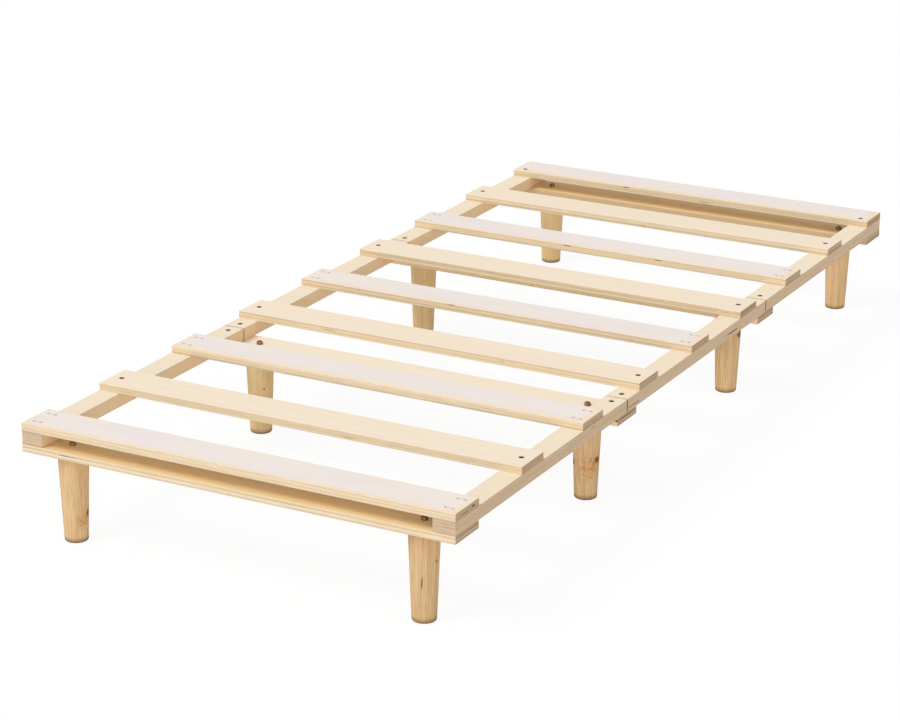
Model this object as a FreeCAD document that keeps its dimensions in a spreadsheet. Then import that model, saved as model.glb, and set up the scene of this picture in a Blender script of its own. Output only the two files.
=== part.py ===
import FreeCAD, Part
import os
import Sketcher

# Low slatted bed frame in timber, bolted together from flat-packed pieces.
#
# X runs across the bed, Y from the front end (-Y) to the back end (+Y), Z up.
# The origin is on the floor, under the middle of the bed. Everything is in mm.
#
# From the floor up there are four layers: round tapered legs, cross boards that
# carry a leg near each end, side rails in three sections a side, and the slats.
# Sections of a rail meet in the middle of a cross board, which ties them together.

SIZES = (
    ("bed_width", 850, "across the bed, over both side rails"),
    ("bed_length", 1950, "from the front end to the back end"),
    ("slat_count", 9, "slats, the first and last flush with the ends"),
    ("slat_width", 80, "width of a slat"),
    ("slat_thickness", 14, "thickness of a slat"),
    ("section_count", 3, "sections in each side rail"),
    ("rail_width", 43, "width of a side rail"),
    ("rail_height", 25, "height of a side rail"),
    ("board_width", 80, "width of a cross board"),
    ("board_thickness", 14, "thickness of a cross board"),
    ("edge_round", 0.8, "radius on the long edges of slats, rails and boards"),
    ("leg_height", 163, "length of a leg"),
    ("leg_top_diameter", 55, "leg under the cross board"),
    ("leg_foot_diameter", 42, "leg at the floor"),
    ("foot_round", 3, "radius round the foot of a leg"),
    ("leg_inset", 78.5, "leg axis from the side of the bed"),
    ("bolt_diameter", 6, "shank of every bolt"),
    ("bolt_clearance", 1, "bolt hole over bolt shank, on the diameter"),
    ("head_diameter", 10, "bolt head"),
    ("head_height", 6, "bolt head"),
    ("head_sink", 0.4, "top of a bolt head below the wood"),
    ("head_clearance", 0.6, "head recess over bolt head, on the diameter"),
    ("socket_flats", 5, "hexagon socket across its flats"),
    ("socket_depth", 3, "hexagon socket"),
    ("bolt_end_gap", 2.6, "end of a bolt above the underside of its stack"),
    ("joint_bolt_offset", 21.5, "joint bolt from the meeting face of two rails"),
    ("last_bolt_setback", 16, "bolt of the last slat from that slat's front edge"),
    ("insert_diameter", 9.5, "insert nut, its body"),
    ("insert_cover", 2, "wood left over an insert nut in a cross board"),
    ("insert_flange_diameter", 13, "insert nut, its flange"),
    ("insert_flange_thickness", 1.5, "insert nut, its flange"),
    ("stud_wood_length", 37, "part of a hanger bolt inside the leg"),
    ("stud_proud", 3, "end of a hanger bolt above its nut"),
    ("nut_flats", 10, "leg nut across its flats"),
    ("nut_height", 6, "leg nut with its flange"),
    ("nut_flange_diameter", 14.2, "flange of a leg nut"),
    ("nut_flange_thickness", 1.2, "flange of a leg nut"),
    ("staple_crown", 13, "staple, over both of its legs"),
    ("staple_wire", 1.2, "staple wire, square"),
    ("staple_length", 30, "staple, from its crown to its points"),
    ("staple_sink", 0.3, "crown of a staple below the wood"),
    ("staple_spacing", 42, "between the two staples in a slat end"),
    ("screw_diameter", 3.8, "screw under the front cross board"),
    ("screw_head_diameter", 7.6, "screw head, countersunk"),
    ("screw_head_height", 2.4, "screw head, countersunk"),
    ("screw_length", 32, "screw, over its head"),
    ("screw_point", 5, "tapered point of a screw"),
    ("screw_spacing", 28, "between the two screws in a board end"),
    ("screw_slot_length", 4.4, "one arm of the cross recess"),
    ("screw_slot_width", 1, "one arm of the cross recess"),
    ("screw_slot_depth", 1.6, "cross recess"),
)

# Distances worked out from the sheet, as expressions.
PITCH = "(Sizes.bed_length - Sizes.slat_width) / (Sizes.slat_count - 1)"
SECTION = "Sizes.bed_length / Sizes.section_count"
RAIL_LINE = "Sizes.rail_width / 2"
FAR_RAIL_LINE = "(Sizes.bed_width - Sizes.rail_width / 2)"
FAR_LEG_LINE = "(Sizes.bed_width - Sizes.leg_inset)"
RAIL_LEVEL = "(Sizes.leg_height + Sizes.board_thickness)"
SLAT_LEVEL = "(Sizes.leg_height + Sizes.board_thickness + Sizes.rail_height)"
TOP_LEVEL = "(Sizes.leg_height + Sizes.board_thickness + Sizes.rail_height + Sizes.slat_thickness)"
HOLE_DIAMETER = "Sizes.bolt_diameter + Sizes.bolt_clearance"
RECESS_DIAMETER = "Sizes.head_diameter + Sizes.head_clearance"
RECESS_DEPTH = "Sizes.head_height + Sizes.head_sink"
INSERT_LENGTH = "(Sizes.board_thickness - Sizes.insert_cover)"
BELOW_HEAD = "(Sizes.bolt_end_gap + Sizes.head_sink)"
SHORT_SLAT_BOLT = f"Sizes.slat_thickness + Sizes.rail_height - {BELOW_HEAD}"
LONG_SLAT_BOLT = f"Sizes.slat_thickness + Sizes.rail_height + Sizes.board_thickness - {BELOW_HEAD}"
JOINT_BOLT = f"Sizes.rail_height + Sizes.board_thickness - {BELOW_HEAD}"
STAPLE_REACH = "(Sizes.staple_crown - Sizes.staple_wire) / 2"

doc = FreeCAD.newDocument("SlattedBedFrame")
sheet = doc.addObject("Spreadsheet::Sheet", "Sizes")


def fill_sheet():
    for row, (alias, value, meaning) in enumerate(SIZES, start=1):
        sheet.set(f"A{row}", meaning)
        sheet.set(f"B{row}", str(value))
        sheet.setAlias(f"B{row}", alias)
    doc.recompute()


def number(expression):
    """The value of an expression, for first positions and for choosing pieces."""
    return float(sheet.evalExpression(expression))


def place(thing, x, y, z):
    """Stand a piece at x, y, z, with y counted from the front end of the bed."""
    thing.setExpression("Placement.Base.x", x)
    thing.setExpression("Placement.Base.y", f"({y}) - Sizes.bed_length / 2")
    thing.setExpression("Placement.Base.z", z)


# ---- Sketches and holes in a body ----

def start_body(label):
    body = doc.addObject("PartDesign::Body", label)
    body.Label = label
    return body


def start_sketch(body, role="XY_Plane", lift=None):
    """A sketch on one of the body's own planes, raised along that plane's normal by lift."""
    sketch = body.newObject("Sketcher::SketchObject", "Sketch")
    plane = next(item for item in body.Origin.OriginFeatures if item.Role == role)
    sketch.AttachmentSupport = (plane, [""])
    sketch.MapMode = "FlatFace"
    if lift:
        sketch.setExpression("AttachmentOffset.Base.z", lift)
    return sketch


def dimension(sketch, kind, references, expression):
    """A driving dimension of the sketch that follows an expression."""
    index = sketch.addConstraint(Sketcher.Constraint(kind, *references, number(expression)))
    name = f"size{index}"
    sketch.renameConstraint(index, name)
    sketch.setExpression(f"Constraints.{name}", expression)


def add_rectangle(sketch, x_low, y_low, x_size, y_size):
    """A rectangle from its low corner; a low of None lies on the sketch's own axis."""
    left = number(x_low) if x_low else 0.0
    low = number(y_low) if y_low else 0.0
    right = left + number(x_size)
    high = low + number(y_size)
    corners = [(left, low), (right, low), (right, high), (left, high)]
    points = [FreeCAD.Vector(x, y, 0) for x, y in corners]
    sides = [Part.LineSegment(points[i], points[(i + 1) % 4]) for i in range(4)]
    first = sketch.addGeometry(sides)[0]
    for i in range(4):
        sketch.addConstraint(Sketcher.Constraint("Coincident", first + i, 2, first + (i + 1) % 4, 1))
        direction = "Horizontal" if i % 2 == 0 else "Vertical"
        sketch.addConstraint(Sketcher.Constraint(direction, first + i))
    dimension(sketch, "DistanceX", (first, 1, first, 2), x_size)
    dimension(sketch, "DistanceY", (first + 1, 1, first + 1, 2), y_size)
    if x_low:
        dimension(sketch, "DistanceX", (-1, 1, first, 1), x_low)
    else:
        sketch.addConstraint(Sketcher.Constraint("PointOnObject", first, 1, -2))
    if y_low:
        dimension(sketch, "DistanceY", (-1, 1, first, 1), y_low)
    else:
        sketch.addConstraint(Sketcher.Constraint("PointOnObject", first, 1, -1))


def add_circle(sketch, x, y, diameter):
    centre = FreeCAD.Vector(number(x), number(y), 0)
    circle = sketch.addGeometry(Part.Circle(centre, FreeCAD.Vector(0, 0, 1), number(diameter) / 2))
    dimension(sketch, "Diameter", (circle,), diameter)
    dimension(sketch, "DistanceX", (-1, 1, circle, 3), x)
    dimension(sketch, "DistanceY", (-1, 1, circle, 3), y)


def pad_block(body, x_size, y_size, z_size):
    """A plain length of timber, its low corner at the body's origin."""
    sketch = start_sketch(body)
    add_rectangle(sketch, None, None, x_size, y_size)
    pad = body.newObject("PartDesign::Pad", "Timber")
    pad.Profile = sketch
    pad.setExpression("Length", z_size)
    doc.recompute()
    return pad


def ease_long_edges(body, pad, direction):
    """Round the four edges that run along the grain."""
    names = []
    for index, edge in enumerate(pad.Shape.Edges, start=1):
        start, end = edge.Vertexes[0].Point, edge.Vertexes[-1].Point
        if abs((end - start).normalize().dot(direction)) > 0.99:
            names.append(f"Edge{index}")
    fillet = body.newObject("PartDesign::Fillet", "EasedEdges")
    fillet.Base = (pad, names)
    fillet.setExpression("Radius", "Sizes.edge_round")
    doc.recompute()


def cut_pocket(body, name, sketch, depth, upward):
    """Cut a sketch into the body, up from it or down from it, and see that wood went."""
    before = body.Shape.Volume
    pocket = body.newObject("PartDesign::Pocket", name)
    pocket.Profile = sketch
    pocket.Reversed = upward
    if depth:
        pocket.setExpression("Length", depth)
    else:
        pocket.Type = "ThroughAll"
    doc.recompute()
    if body.Shape.Volume > before - 1e-3:
        raise RuntimeError(f"{body.Label}: {name} cuts nothing")


def cut_circles(body, name, centres, diameter, depth, level=None, upward=True):
    """Round holes of one size; depth None goes right through."""
    if centres:
        sketch = start_sketch(body, lift=level)
        for x, y in centres:
            add_circle(sketch, x, y, diameter)
        cut_pocket(body, name, sketch, depth, upward)


def cut_rectangles(body, name, corners, x_size, y_size, depth, level=None, upward=True):
    """Rectangular slots of one size, given by their low corners."""
    if corners:
        sketch = start_sketch(body, lift=level)
        for x, y in corners:
            add_rectangle(sketch, x, y, x_size, y_size)
        cut_pocket(body, name, sketch, depth, upward)


def cut_bolt_holes(body, centres, top):
    """Clearance holes, each with a recess for a bolt head in the upper face."""
    cut_circles(body, "BoltHole", centres, HOLE_DIAMETER, None)
    cut_circles(body, "HeadRecess", centres, RECESS_DIAMETER, RECESS_DEPTH, top, False)


def cut_insert_holes(body, centres):
    """Holes from below for insert nuts, with a shallow recess for the flange."""
    cut_circles(body, "InsertHole", centres, "Sizes.insert_diameter", INSERT_LENGTH)
    flange = "Sizes.insert_flange_diameter"
    cut_circles(body, "FlangeRecess", centres, flange, "Sizes.insert_flange_thickness")


# ---- Where the pieces and their fasteners go, counted from the front end ----

def slat_start(index):
    return f"{PITCH} * {index}"


def is_last_slat(index):
    return index == slat_count - 1


def is_bolted(index):
    """Every second slat is bolted on the job, and so is the last; the rest come stapled."""
    return index % 2 == 1 or is_last_slat(index)


def bolt_setback(index):
    """Bolt line of a slat, from that slat's front edge."""
    return "Sizes.last_bolt_setback" if is_last_slat(index) else "Sizes.slat_width / 2"


def staple_setbacks():
    """Lines of the two staples in a slat end, from the slat's front edge."""
    middle = "Sizes.slat_width / 2"
    return [f"{middle} - Sizes.staple_spacing / 2", f"{middle} + Sizes.staple_spacing / 2"]


def section_of(index):
    """Which rail section carries a slat."""
    middle = number(f"{slat_start(index)} + Sizes.slat_width / 2")
    return int(middle // number(SECTION))


def board_start(index):
    """Boards are flush with both ends, and centred under each meeting of two rail sections."""
    if index == 0:
        return "0"
    if index == section_count:
        return "Sizes.bed_length - Sizes.board_width"
    return f"{SECTION} * {index} - Sizes.board_width / 2"


def board_middle(index):
    return f"{board_start(index)} + Sizes.board_width / 2"


def screw_setbacks():
    """Lines of the two screws in a front board end, from the front end of the bed."""
    middle = "Sizes.board_width / 2"
    return [f"{middle} - Sizes.screw_spacing / 2", f"{middle} + Sizes.screw_spacing / 2"]


def staple_leg_corners(x, y):
    """Low corners of the two slots for a staple's legs, the staple centred on x, y."""
    low_y = f"{y} - Sizes.staple_wire / 2"
    return [
        (f"{x} - Sizes.staple_crown / 2", low_y),
        (f"{x} + Sizes.staple_crown / 2 - Sizes.staple_wire", low_y),
    ]


# ---- Timber ----

def make_slat(index):
    body = start_body(f"slat_{index + 1}")
    pad = pad_block(body, "Sizes.bed_width", "Sizes.slat_width", "Sizes.slat_thickness")
    ease_long_edges(body, pad, FreeCAD.Vector(1, 0, 0))
    lines = (RAIL_LINE, FAR_RAIL_LINE)
    top = "Sizes.slat_thickness"
    if is_bolted(index):
        cut_bolt_holes(body, [(x, bolt_setback(index)) for x in lines], top)
    else:
        centres = [(x, y) for x in lines for y in staple_setbacks()]
        legs = [corner for x, y in centres for corner in staple_leg_corners(x, y)]
        wire = "Sizes.staple_wire"
        cut_rectangles(body, "StapleLegs", legs, wire, wire, None)
        crowns = [staple_leg_corners(x, y)[0] for x, y in centres]
        depth = "Sizes.staple_wire + Sizes.staple_sink"
        cut_rectangles(body, "StapleCrowns", crowns, "Sizes.staple_crown", wire, depth, top, False)
    place(body, "-Sizes.bed_width / 2", slat_start(index), SLAT_LEVEL)
    return body


def rail_slats(section, bolted):
    """The slats on one rail section that are bolted, or those that are stapled."""
    return [i for i in range(slat_count) if section_of(i) == section and is_bolted(i) == bolted]


def make_rail(side, section, name):
    body = start_body(f"rail_{side}_{name}")
    pad = pad_block(body, "Sizes.rail_width", SECTION, "Sizes.rail_height")
    ease_long_edges(body, pad, FreeCAD.Vector(0, 1, 0))
    start = f"{SECTION} * {section}"
    top = "Sizes.rail_height"

    joints = []
    if section > 0:
        joints.append((RAIL_LINE, "Sizes.joint_bolt_offset"))
    if section < section_count - 1:
        joints.append((RAIL_LINE, f"{SECTION} - Sizes.joint_bolt_offset"))
    cut_bolt_holes(body, joints, top)

    bolted = rail_slats(section, True)
    under_slats = {i: (RAIL_LINE, f"{slat_start(i)} - {start} + {bolt_setback(i)}") for i in bolted}
    cut_circles(body, "SlatBoltHole", list(under_slats.values()), HOLE_DIAMETER, None)
    cut_insert_holes(body, [hole for i, hole in under_slats.items() if not is_last_slat(i)])

    starts = [f"{slat_start(i)} - {start}" for i in rail_slats(section, False)]
    staples = [(RAIL_LINE, f"{low} + {y}") for low in starts for y in staple_setbacks()]
    legs = [corner for x, y in staples for corner in staple_leg_corners(x, y)]
    wire = "Sizes.staple_wire"
    depth = "Sizes.staple_sink + Sizes.staple_length - Sizes.slat_thickness"
    cut_rectangles(body, "StapleLegs", legs, wire, wire, depth, top, False)

    if section == 0:
        pilots = [(RAIL_LINE, y) for y in screw_setbacks()]
        pilot_depth = "Sizes.screw_length - Sizes.board_thickness"
        cut_circles(body, "ScrewPilot", pilots, "Sizes.screw_diameter", pilot_depth)

    left = "-Sizes.bed_width / 2"
    right = "Sizes.bed_width / 2 - Sizes.rail_width"
    place(body, left if side == "left" else right, start, RAIL_LEVEL)
    return body


def countersink(body, x, y):
    """A conical seat for a screw head in the underside of a board."""
    cone = body.newObject("PartDesign::SubtractiveCone", "Countersink")
    cone.setExpression("Radius1", "Sizes.screw_head_diameter / 2")
    cone.setExpression("Radius2", "Sizes.screw_diameter / 2")
    cone.setExpression("Height", "Sizes.screw_head_height")
    plane = next(item for item in body.Origin.OriginFeatures if item.Role == "XY_Plane")
    cone.AttachmentSupport = (plane, [""])
    cone.MapMode = "FlatFace"
    cone.setExpression("AttachmentOffset.Base.x", x)
    cone.setExpression("AttachmentOffset.Base.y", y)
    doc.recompute()


def make_board(index, name):
    body = start_body(f"cross_board_{name}")
    pad = pad_block(body, "Sizes.bed_width", "Sizes.board_width", "Sizes.board_thickness")
    ease_long_edges(body, pad, FreeCAD.Vector(1, 0, 0))
    middle = "Sizes.board_width / 2"
    legs = [("Sizes.leg_inset", middle), (FAR_LEG_LINE, middle)]
    cut_circles(body, "LegBoltHole", legs, HOLE_DIAMETER, None)
    lines = (RAIL_LINE, FAR_RAIL_LINE)
    if index == 0:
        screws = [(x, y) for x in lines for y in screw_setbacks()]
        cut_circles(body, "ScrewHole", screws, "Sizes.screw_diameter", None)
        for x, y in screws:
            countersink(body, x, y)
    elif index == section_count:
        setback = "Sizes.last_bolt_setback + Sizes.board_width - Sizes.slat_width"
        centres = [(x, setback) for x in lines]
        cut_circles(body, "BoltHole", centres, HOLE_DIAMETER, None)
        cut_insert_holes(body, centres)
    else:
        offsets = [f"{middle} {sign} Sizes.joint_bolt_offset" for sign in "-+"]
        centres = [(x, y) for x in lines for y in offsets]
        cut_circles(body, "BoltHole", centres, HOLE_DIAMETER, None)
        cut_insert_holes(body, centres)
    place(body, "-Sizes.bed_width / 2", board_start(index), "Sizes.leg_height")
    return body


def add_leg_profile(sketch):
    """Half of the leg's outline: floor, taper, top and the axis."""
    foot = number("Sizes.leg_foot_diameter / 2")
    top = number("Sizes.leg_top_diameter / 2")
    height = number("Sizes.leg_height")
    outline = [(0, 0), (foot, 0), (top, height), (0, height)]
    points = [FreeCAD.Vector(x, y, 0) for x, y in outline]
    sketch.addGeometry([Part.LineSegment(points[i], points[(i + 1) % 4]) for i in range(4)])
    for i in range(4):
        sketch.addConstraint(Sketcher.Constraint("Coincident", i, 2, (i + 1) % 4, 1))
    sketch.addConstraint(Sketcher.Constraint("Coincident", 0, 1, -1, 1))
    sketch.addConstraint(Sketcher.Constraint("Horizontal", 0))
    sketch.addConstraint(Sketcher.Constraint("Horizontal", 2))
    sketch.addConstraint(Sketcher.Constraint("Vertical", 3))
    dimension(sketch, "DistanceX", (0, 1, 0, 2), "Sizes.leg_foot_diameter / 2")
    dimension(sketch, "DistanceX", (2, 2, 2, 1), "Sizes.leg_top_diameter / 2")
    dimension(sketch, "DistanceY", (3, 2, 3, 1), "Sizes.leg_height")


def make_leg(side, board, name):
    body = start_body(f"leg_{name}_{side}")
    sketch = start_sketch(body, "XZ_Plane")
    add_leg_profile(sketch)
    turned = body.newObject("PartDesign::Revolution", "Turned")
    turned.Profile = sketch
    turned.ReferenceAxis = (sketch, ["V_Axis"])
    doc.recompute()
    foot_edges = [
        f"Edge{index}" for index, edge in enumerate(turned.Shape.Edges, start=1)
        if edge.BoundBox.ZMax < 1e-6 and edge.BoundBox.XLength > 1
    ]
    fillet = body.newObject("PartDesign::Fillet", "FootRound")
    fillet.Base = (turned, foot_edges)
    fillet.setExpression("Radius", "Sizes.foot_round")
    doc.recompute()
    pilot = start_sketch(body, lift="Sizes.leg_height")
    radius = number("Sizes.bolt_diameter / 2")
    circle = pilot.addGeometry(Part.Circle(FreeCAD.Vector(), FreeCAD.Vector(0, 0, 1), radius))
    pilot.addConstraint(Sketcher.Constraint("Coincident", circle, 3, -1, 1))
    dimension(pilot, "Diameter", (circle,), "Sizes.bolt_diameter")
    cut_pocket(body, "BoltPilot", pilot, "Sizes.stud_wood_length", False)
    x = "Sizes.leg_inset - Sizes.bed_width / 2"
    place(body, x if side == "left" else f"-({x})", board_middle(board), "0")
    return body


# ---- Fasteners: one pattern of each kind, repeated by links into a group ----

def cylinder(name, diameter, height, base="0"):
    solid = doc.addObject("Part::Cylinder", name)
    solid.setExpression("Radius", f"({diameter}) / 2")
    solid.setExpression("Height", height)
    solid.setExpression("Placement.Base.z", base)
    return solid


def prism(name, flats, height, base="0"):
    solid = doc.addObject("Part::Prism", name)
    solid.Polygon = 6
    solid.setExpression("Circumradius", f"{flats} / sqrt(3)")
    solid.setExpression("Height", height)
    solid.setExpression("Placement.Base.z", base)
    return solid


def box(name, x_size, y_size, z_size, x, y, z):
    solid = doc.addObject("Part::Box", name)
    solid.setExpression("Length", x_size)
    solid.setExpression("Width", y_size)
    solid.setExpression("Height", z_size)
    solid.setExpression("Placement.Base.x", x)
    solid.setExpression("Placement.Base.y", y)
    solid.setExpression("Placement.Base.z", z)
    return solid


def cone(name, low_diameter, high_diameter, height, base="0"):
    solid = doc.addObject("Part::Cone", name)
    solid.setExpression("Radius1", f"{low_diameter} / 2")
    solid.setExpression("Radius2", f"{high_diameter} / 2")
    solid.setExpression("Height", height)
    solid.setExpression("Placement.Base.z", base)
    return solid


def fuse(name, solids):
    joined = doc.addObject("Part::MultiFuse", name)
    joined.Shapes = solids
    joined.Refine = True
    return joined


def cut(name, solid, tool):
    rest = doc.addObject("Part::Cut", name)
    rest.Base = solid
    rest.Tool = tool
    return rest


def bolt_pattern(name, overall):
    """Socket head bolt, its head's top at the origin and its shank pointing down."""
    head = cylinder(f"{name}_head", "Sizes.head_diameter", "Sizes.head_height", "-Sizes.head_height")
    shank = cylinder(f"{name}_shank", "Sizes.bolt_diameter", overall, f"-({overall})")
    socket = prism(f"{name}_socket", "Sizes.socket_flats", "Sizes.socket_depth", "-Sizes.socket_depth")
    return cut(name, fuse(f"{name}_blank", [head, shank]), socket)


def insert_pattern():
    """Flanged insert nut, its flange's underside at the origin."""
    barrel = cylinder("insert_barrel", "Sizes.insert_diameter", INSERT_LENGTH)
    flange = cylinder("insert_flange", "Sizes.insert_flange_diameter", "Sizes.insert_flange_thickness")
    bore = cylinder("insert_bore", "Sizes.bolt_diameter", INSERT_LENGTH)
    return cut("insert_nut", fuse("insert_blank", [barrel, flange]), bore)


def stud_pattern():
    """Hanger bolt: wood thread down in the leg, machine thread up through board and nut."""
    above = "Sizes.board_thickness + Sizes.nut_height + Sizes.stud_proud"
    below = "Sizes.stud_wood_length"
    return cylinder("hanger_bolt", "Sizes.bolt_diameter", f"{above} + {below}", f"-{below}")


def nut_pattern():
    """Hexagon nut with a round flange, its underside at the origin."""
    hexagon = prism("nut_hexagon", "Sizes.nut_flats", "Sizes.nut_height")
    flange = cylinder("nut_flange", "Sizes.nut_flange_diameter", "Sizes.nut_flange_thickness")
    bore = cylinder("nut_bore", "Sizes.bolt_diameter", "Sizes.nut_height")
    return cut("flange_nut", fuse("nut_blank", [hexagon, flange]), bore)


def staple_pattern():
    """Square-wire staple, the top of its crown at the origin and its legs pointing down."""
    wire = "Sizes.staple_wire"
    half = "-Sizes.staple_wire / 2"
    crown = box("staple_crown_bar", "Sizes.staple_crown", wire, wire,
                "-Sizes.staple_crown / 2", half, f"-{wire}")
    legs = []
    for name, x in (("staple_leg_a", f"-{STAPLE_REACH}"), ("staple_leg_b", STAPLE_REACH)):
        length = "Sizes.staple_length"
        legs.append(box(name, wire, wire, length, f"{x} - {wire} / 2", half, f"-{length}"))
    return fuse("staple", [crown] + legs)


def screw_pattern():
    """Countersunk cross-recess screw, its head's face at the origin and its point up."""
    head = cone("screw_head", "Sizes.screw_head_diameter", "Sizes.screw_diameter",
                "Sizes.screw_head_height")
    straight = "Sizes.screw_length - Sizes.screw_point"
    shank = cylinder("screw_shank", "Sizes.screw_diameter", straight)
    point = cone("screw_tip", "Sizes.screw_diameter", "0", "Sizes.screw_point", straight)
    arm = ("Sizes.screw_slot_length", "Sizes.screw_slot_width")
    arms = []
    for name, x_size, y_size in (("screw_slot_x", *arm), ("screw_slot_y", *arm[::-1])):
        arms.append(box(name, x_size, y_size, "Sizes.screw_slot_depth",
                        f"-{x_size} / 2", f"-{y_size} / 2", "0"))
    recess = fuse("screw_recess", arms)
    return cut("countersunk_screw", fuse("screw_blank", [head, shank, point]), recess)


def make_group(label, pattern, places):
    """One sub-part made of equal fasteners, a link to the pattern standing at each place."""
    links = []
    for index, (x, y, z) in enumerate(places, start=1):
        link = doc.addObject("App::Link", f"{label}_{index}")
        link.LinkedObject = pattern
        link.LinkTransform = True
        place(link, x, y, z)
        links.append(link)
    group = doc.addObject("Part::Compound", label)
    group.Label = label
    group.Links = links
    return group


def make_fasteners():
    rail_lines = [f"{sign}(Sizes.bed_width / 2 - Sizes.rail_width / 2)" for sign in ("-", "")]
    leg_lines = [f"{sign}(Sizes.bed_width / 2 - Sizes.leg_inset)" for sign in ("-", "")]
    slat_top = f"{TOP_LEVEL} - Sizes.head_sink"
    rail_top = f"{SLAT_LEVEL} - Sizes.head_sink"
    slats = range(slat_count)
    bolt_y = {i: f"{slat_start(i)} + {bolt_setback(i)}" for i in slats if is_bolted(i)}
    last_y = bolt_y.pop(slat_count - 1)
    seams = range(1, section_count)
    joint_y = [f"{SECTION} * {i} {sign} Sizes.joint_bolt_offset" for i in seams for sign in "-+"]
    board_y = [board_middle(i) for i in range(section_count + 1)]
    stapled = [i for i in slats if not is_bolted(i)]
    staple_y = [f"{slat_start(i)} + {y}" for i in stapled for y in staple_setbacks()]

    insert = insert_pattern()
    staple_top = f"{TOP_LEVEL} - Sizes.staple_sink"

    def spread(lines, rows, level):
        return [(x, y, level) for y in rows for x in lines]

    return [
        make_group("leg_hanger_bolts", stud_pattern(), spread(leg_lines, board_y, "Sizes.leg_height")),
        make_group("leg_flange_nuts", nut_pattern(), spread(leg_lines, board_y, RAIL_LEVEL)),
        make_group("slat_bolts", bolt_pattern("slat_bolt", SHORT_SLAT_BOLT),
                   spread(rail_lines, bolt_y.values(), slat_top)),
        make_group("last_slat_bolts", bolt_pattern("long_bolt", LONG_SLAT_BOLT),
                   spread(rail_lines, [last_y], slat_top)),
        make_group("joint_bolts", bolt_pattern("joint_bolt", JOINT_BOLT),
                   spread(rail_lines, joint_y, rail_top)),
        make_group("rail_insert_nuts", insert, spread(rail_lines, bolt_y.values(), RAIL_LEVEL)),
        make_group("board_insert_nuts", insert,
                   spread(rail_lines, joint_y + [last_y], "Sizes.leg_height")),
        make_group("slat_staples", staple_pattern(), spread(rail_lines, staple_y, staple_top)),
        make_group("front_board_screws", screw_pattern(),
                   spread(rail_lines, screw_setbacks(), "Sizes.leg_height")),
    ]


def make_timber():
    pieces = [make_slat(index) for index in range(slat_count)]
    section_names = ["front"] + ["middle"] * (section_count - 2) + ["back"]
    board_names = ["front"] + [f"joint_{i}" for i in range(1, section_count)] + ["back"]
    for side in ("left", "right"):
        for section, name in enumerate(section_names):
            pieces.append(make_rail(side, section, name))
    for index, name in enumerate(board_names):
        pieces.append(make_board(index, name))
        for side in ("left", "right"):
            pieces.append(make_leg(side, index, name))
    return pieces


# ---- Check and write ----

def check(pieces):
    failed = [item.Label for item in doc.Objects if {"Invalid", "Error"} & set(item.State)]
    if failed:
        raise RuntimeError(f"objects that failed: {failed}")
    for piece in pieces:
        if piece.Shape.isNull() or not piece.Shape.isValid() or not piece.Shape.Solids:
            raise RuntimeError(f"{piece.Label} has no sound shape")


def write(pieces):
    os.makedirs("parts", exist_ok=True)
    for piece in pieces:
        piece.Shape.exportStep(f"parts/{piece.Label}.step")
        extent = piece.Shape.BoundBox
        print(f"{piece.Label}: {len(piece.Shape.Solids)} solids, {piece.Shape.Volume:.0f} mm3, "
              f"z {extent.ZMin:.1f} to {extent.ZMax:.1f}")


fill_sheet()
slat_count = int(number("Sizes.slat_count"))
section_count = int(number("Sizes.section_count"))
sub_parts = make_timber() + make_fasteners()
doc.recompute()
check(sub_parts)
write(sub_parts)
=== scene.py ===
# %% [markdown]
# # A slatted bed frame in timber
#
# This lesson dresses a low single bed frame. Its CAD model says where each of its
# pieces is: eight turned legs, four cross boards, six rail sections, nine slats and
# the hardware that holds them together.
#
# We load that model first, because every size below is read from it. The pieces
# made here take the place of the plain CAD solids, with eased edges, real holes,
# splits in the plies, threads on the bolts, and wood that has a grain.

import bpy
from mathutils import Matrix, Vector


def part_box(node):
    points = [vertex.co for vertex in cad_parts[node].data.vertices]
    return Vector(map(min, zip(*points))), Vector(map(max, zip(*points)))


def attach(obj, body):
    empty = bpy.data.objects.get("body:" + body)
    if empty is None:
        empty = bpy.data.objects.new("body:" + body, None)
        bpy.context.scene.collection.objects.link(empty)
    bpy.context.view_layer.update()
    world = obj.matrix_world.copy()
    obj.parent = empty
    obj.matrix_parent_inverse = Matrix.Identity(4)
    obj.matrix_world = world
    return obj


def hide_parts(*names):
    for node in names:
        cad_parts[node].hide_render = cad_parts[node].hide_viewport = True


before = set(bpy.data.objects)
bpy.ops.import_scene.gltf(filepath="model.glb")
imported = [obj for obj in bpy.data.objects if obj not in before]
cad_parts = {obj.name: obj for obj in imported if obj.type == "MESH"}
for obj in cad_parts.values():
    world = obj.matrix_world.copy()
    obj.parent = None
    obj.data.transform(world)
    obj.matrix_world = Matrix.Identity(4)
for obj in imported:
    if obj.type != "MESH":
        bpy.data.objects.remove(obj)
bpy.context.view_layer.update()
print("pieces in the CAD model:", len(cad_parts))

# %% The other tools
import math
import random
from types import SimpleNamespace

import bmesh
import bpy
from mathutils import Matrix, Vector

MM = 0.001
scene = bpy.context.scene
scene.view_settings.view_transform = "Standard"


def show(thing):
    """Link an object to the scene, so that it renders."""
    scene.collection.objects.link(thing)
    return thing

# %% [markdown]
# ## The camera
#
# A long lens from the front right corner keeps the rails nearly parallel, as a
# catalogue picture does. A camera can be aimed with a Track To constraint. Here its
# turn is worked out from three angles, because that also allows a slight roll.

# %% Camera
CAMERA_PLACE = Vector((2.3752, -4.6441, 1.9374))
CAMERA_AZIMUTH = math.radians(28.137)
CAMERA_ELEVATION = math.radians(19.374)
CAMERA_ROLL = math.radians(0.326)
LENS_LENGTH = 112.94

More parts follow.
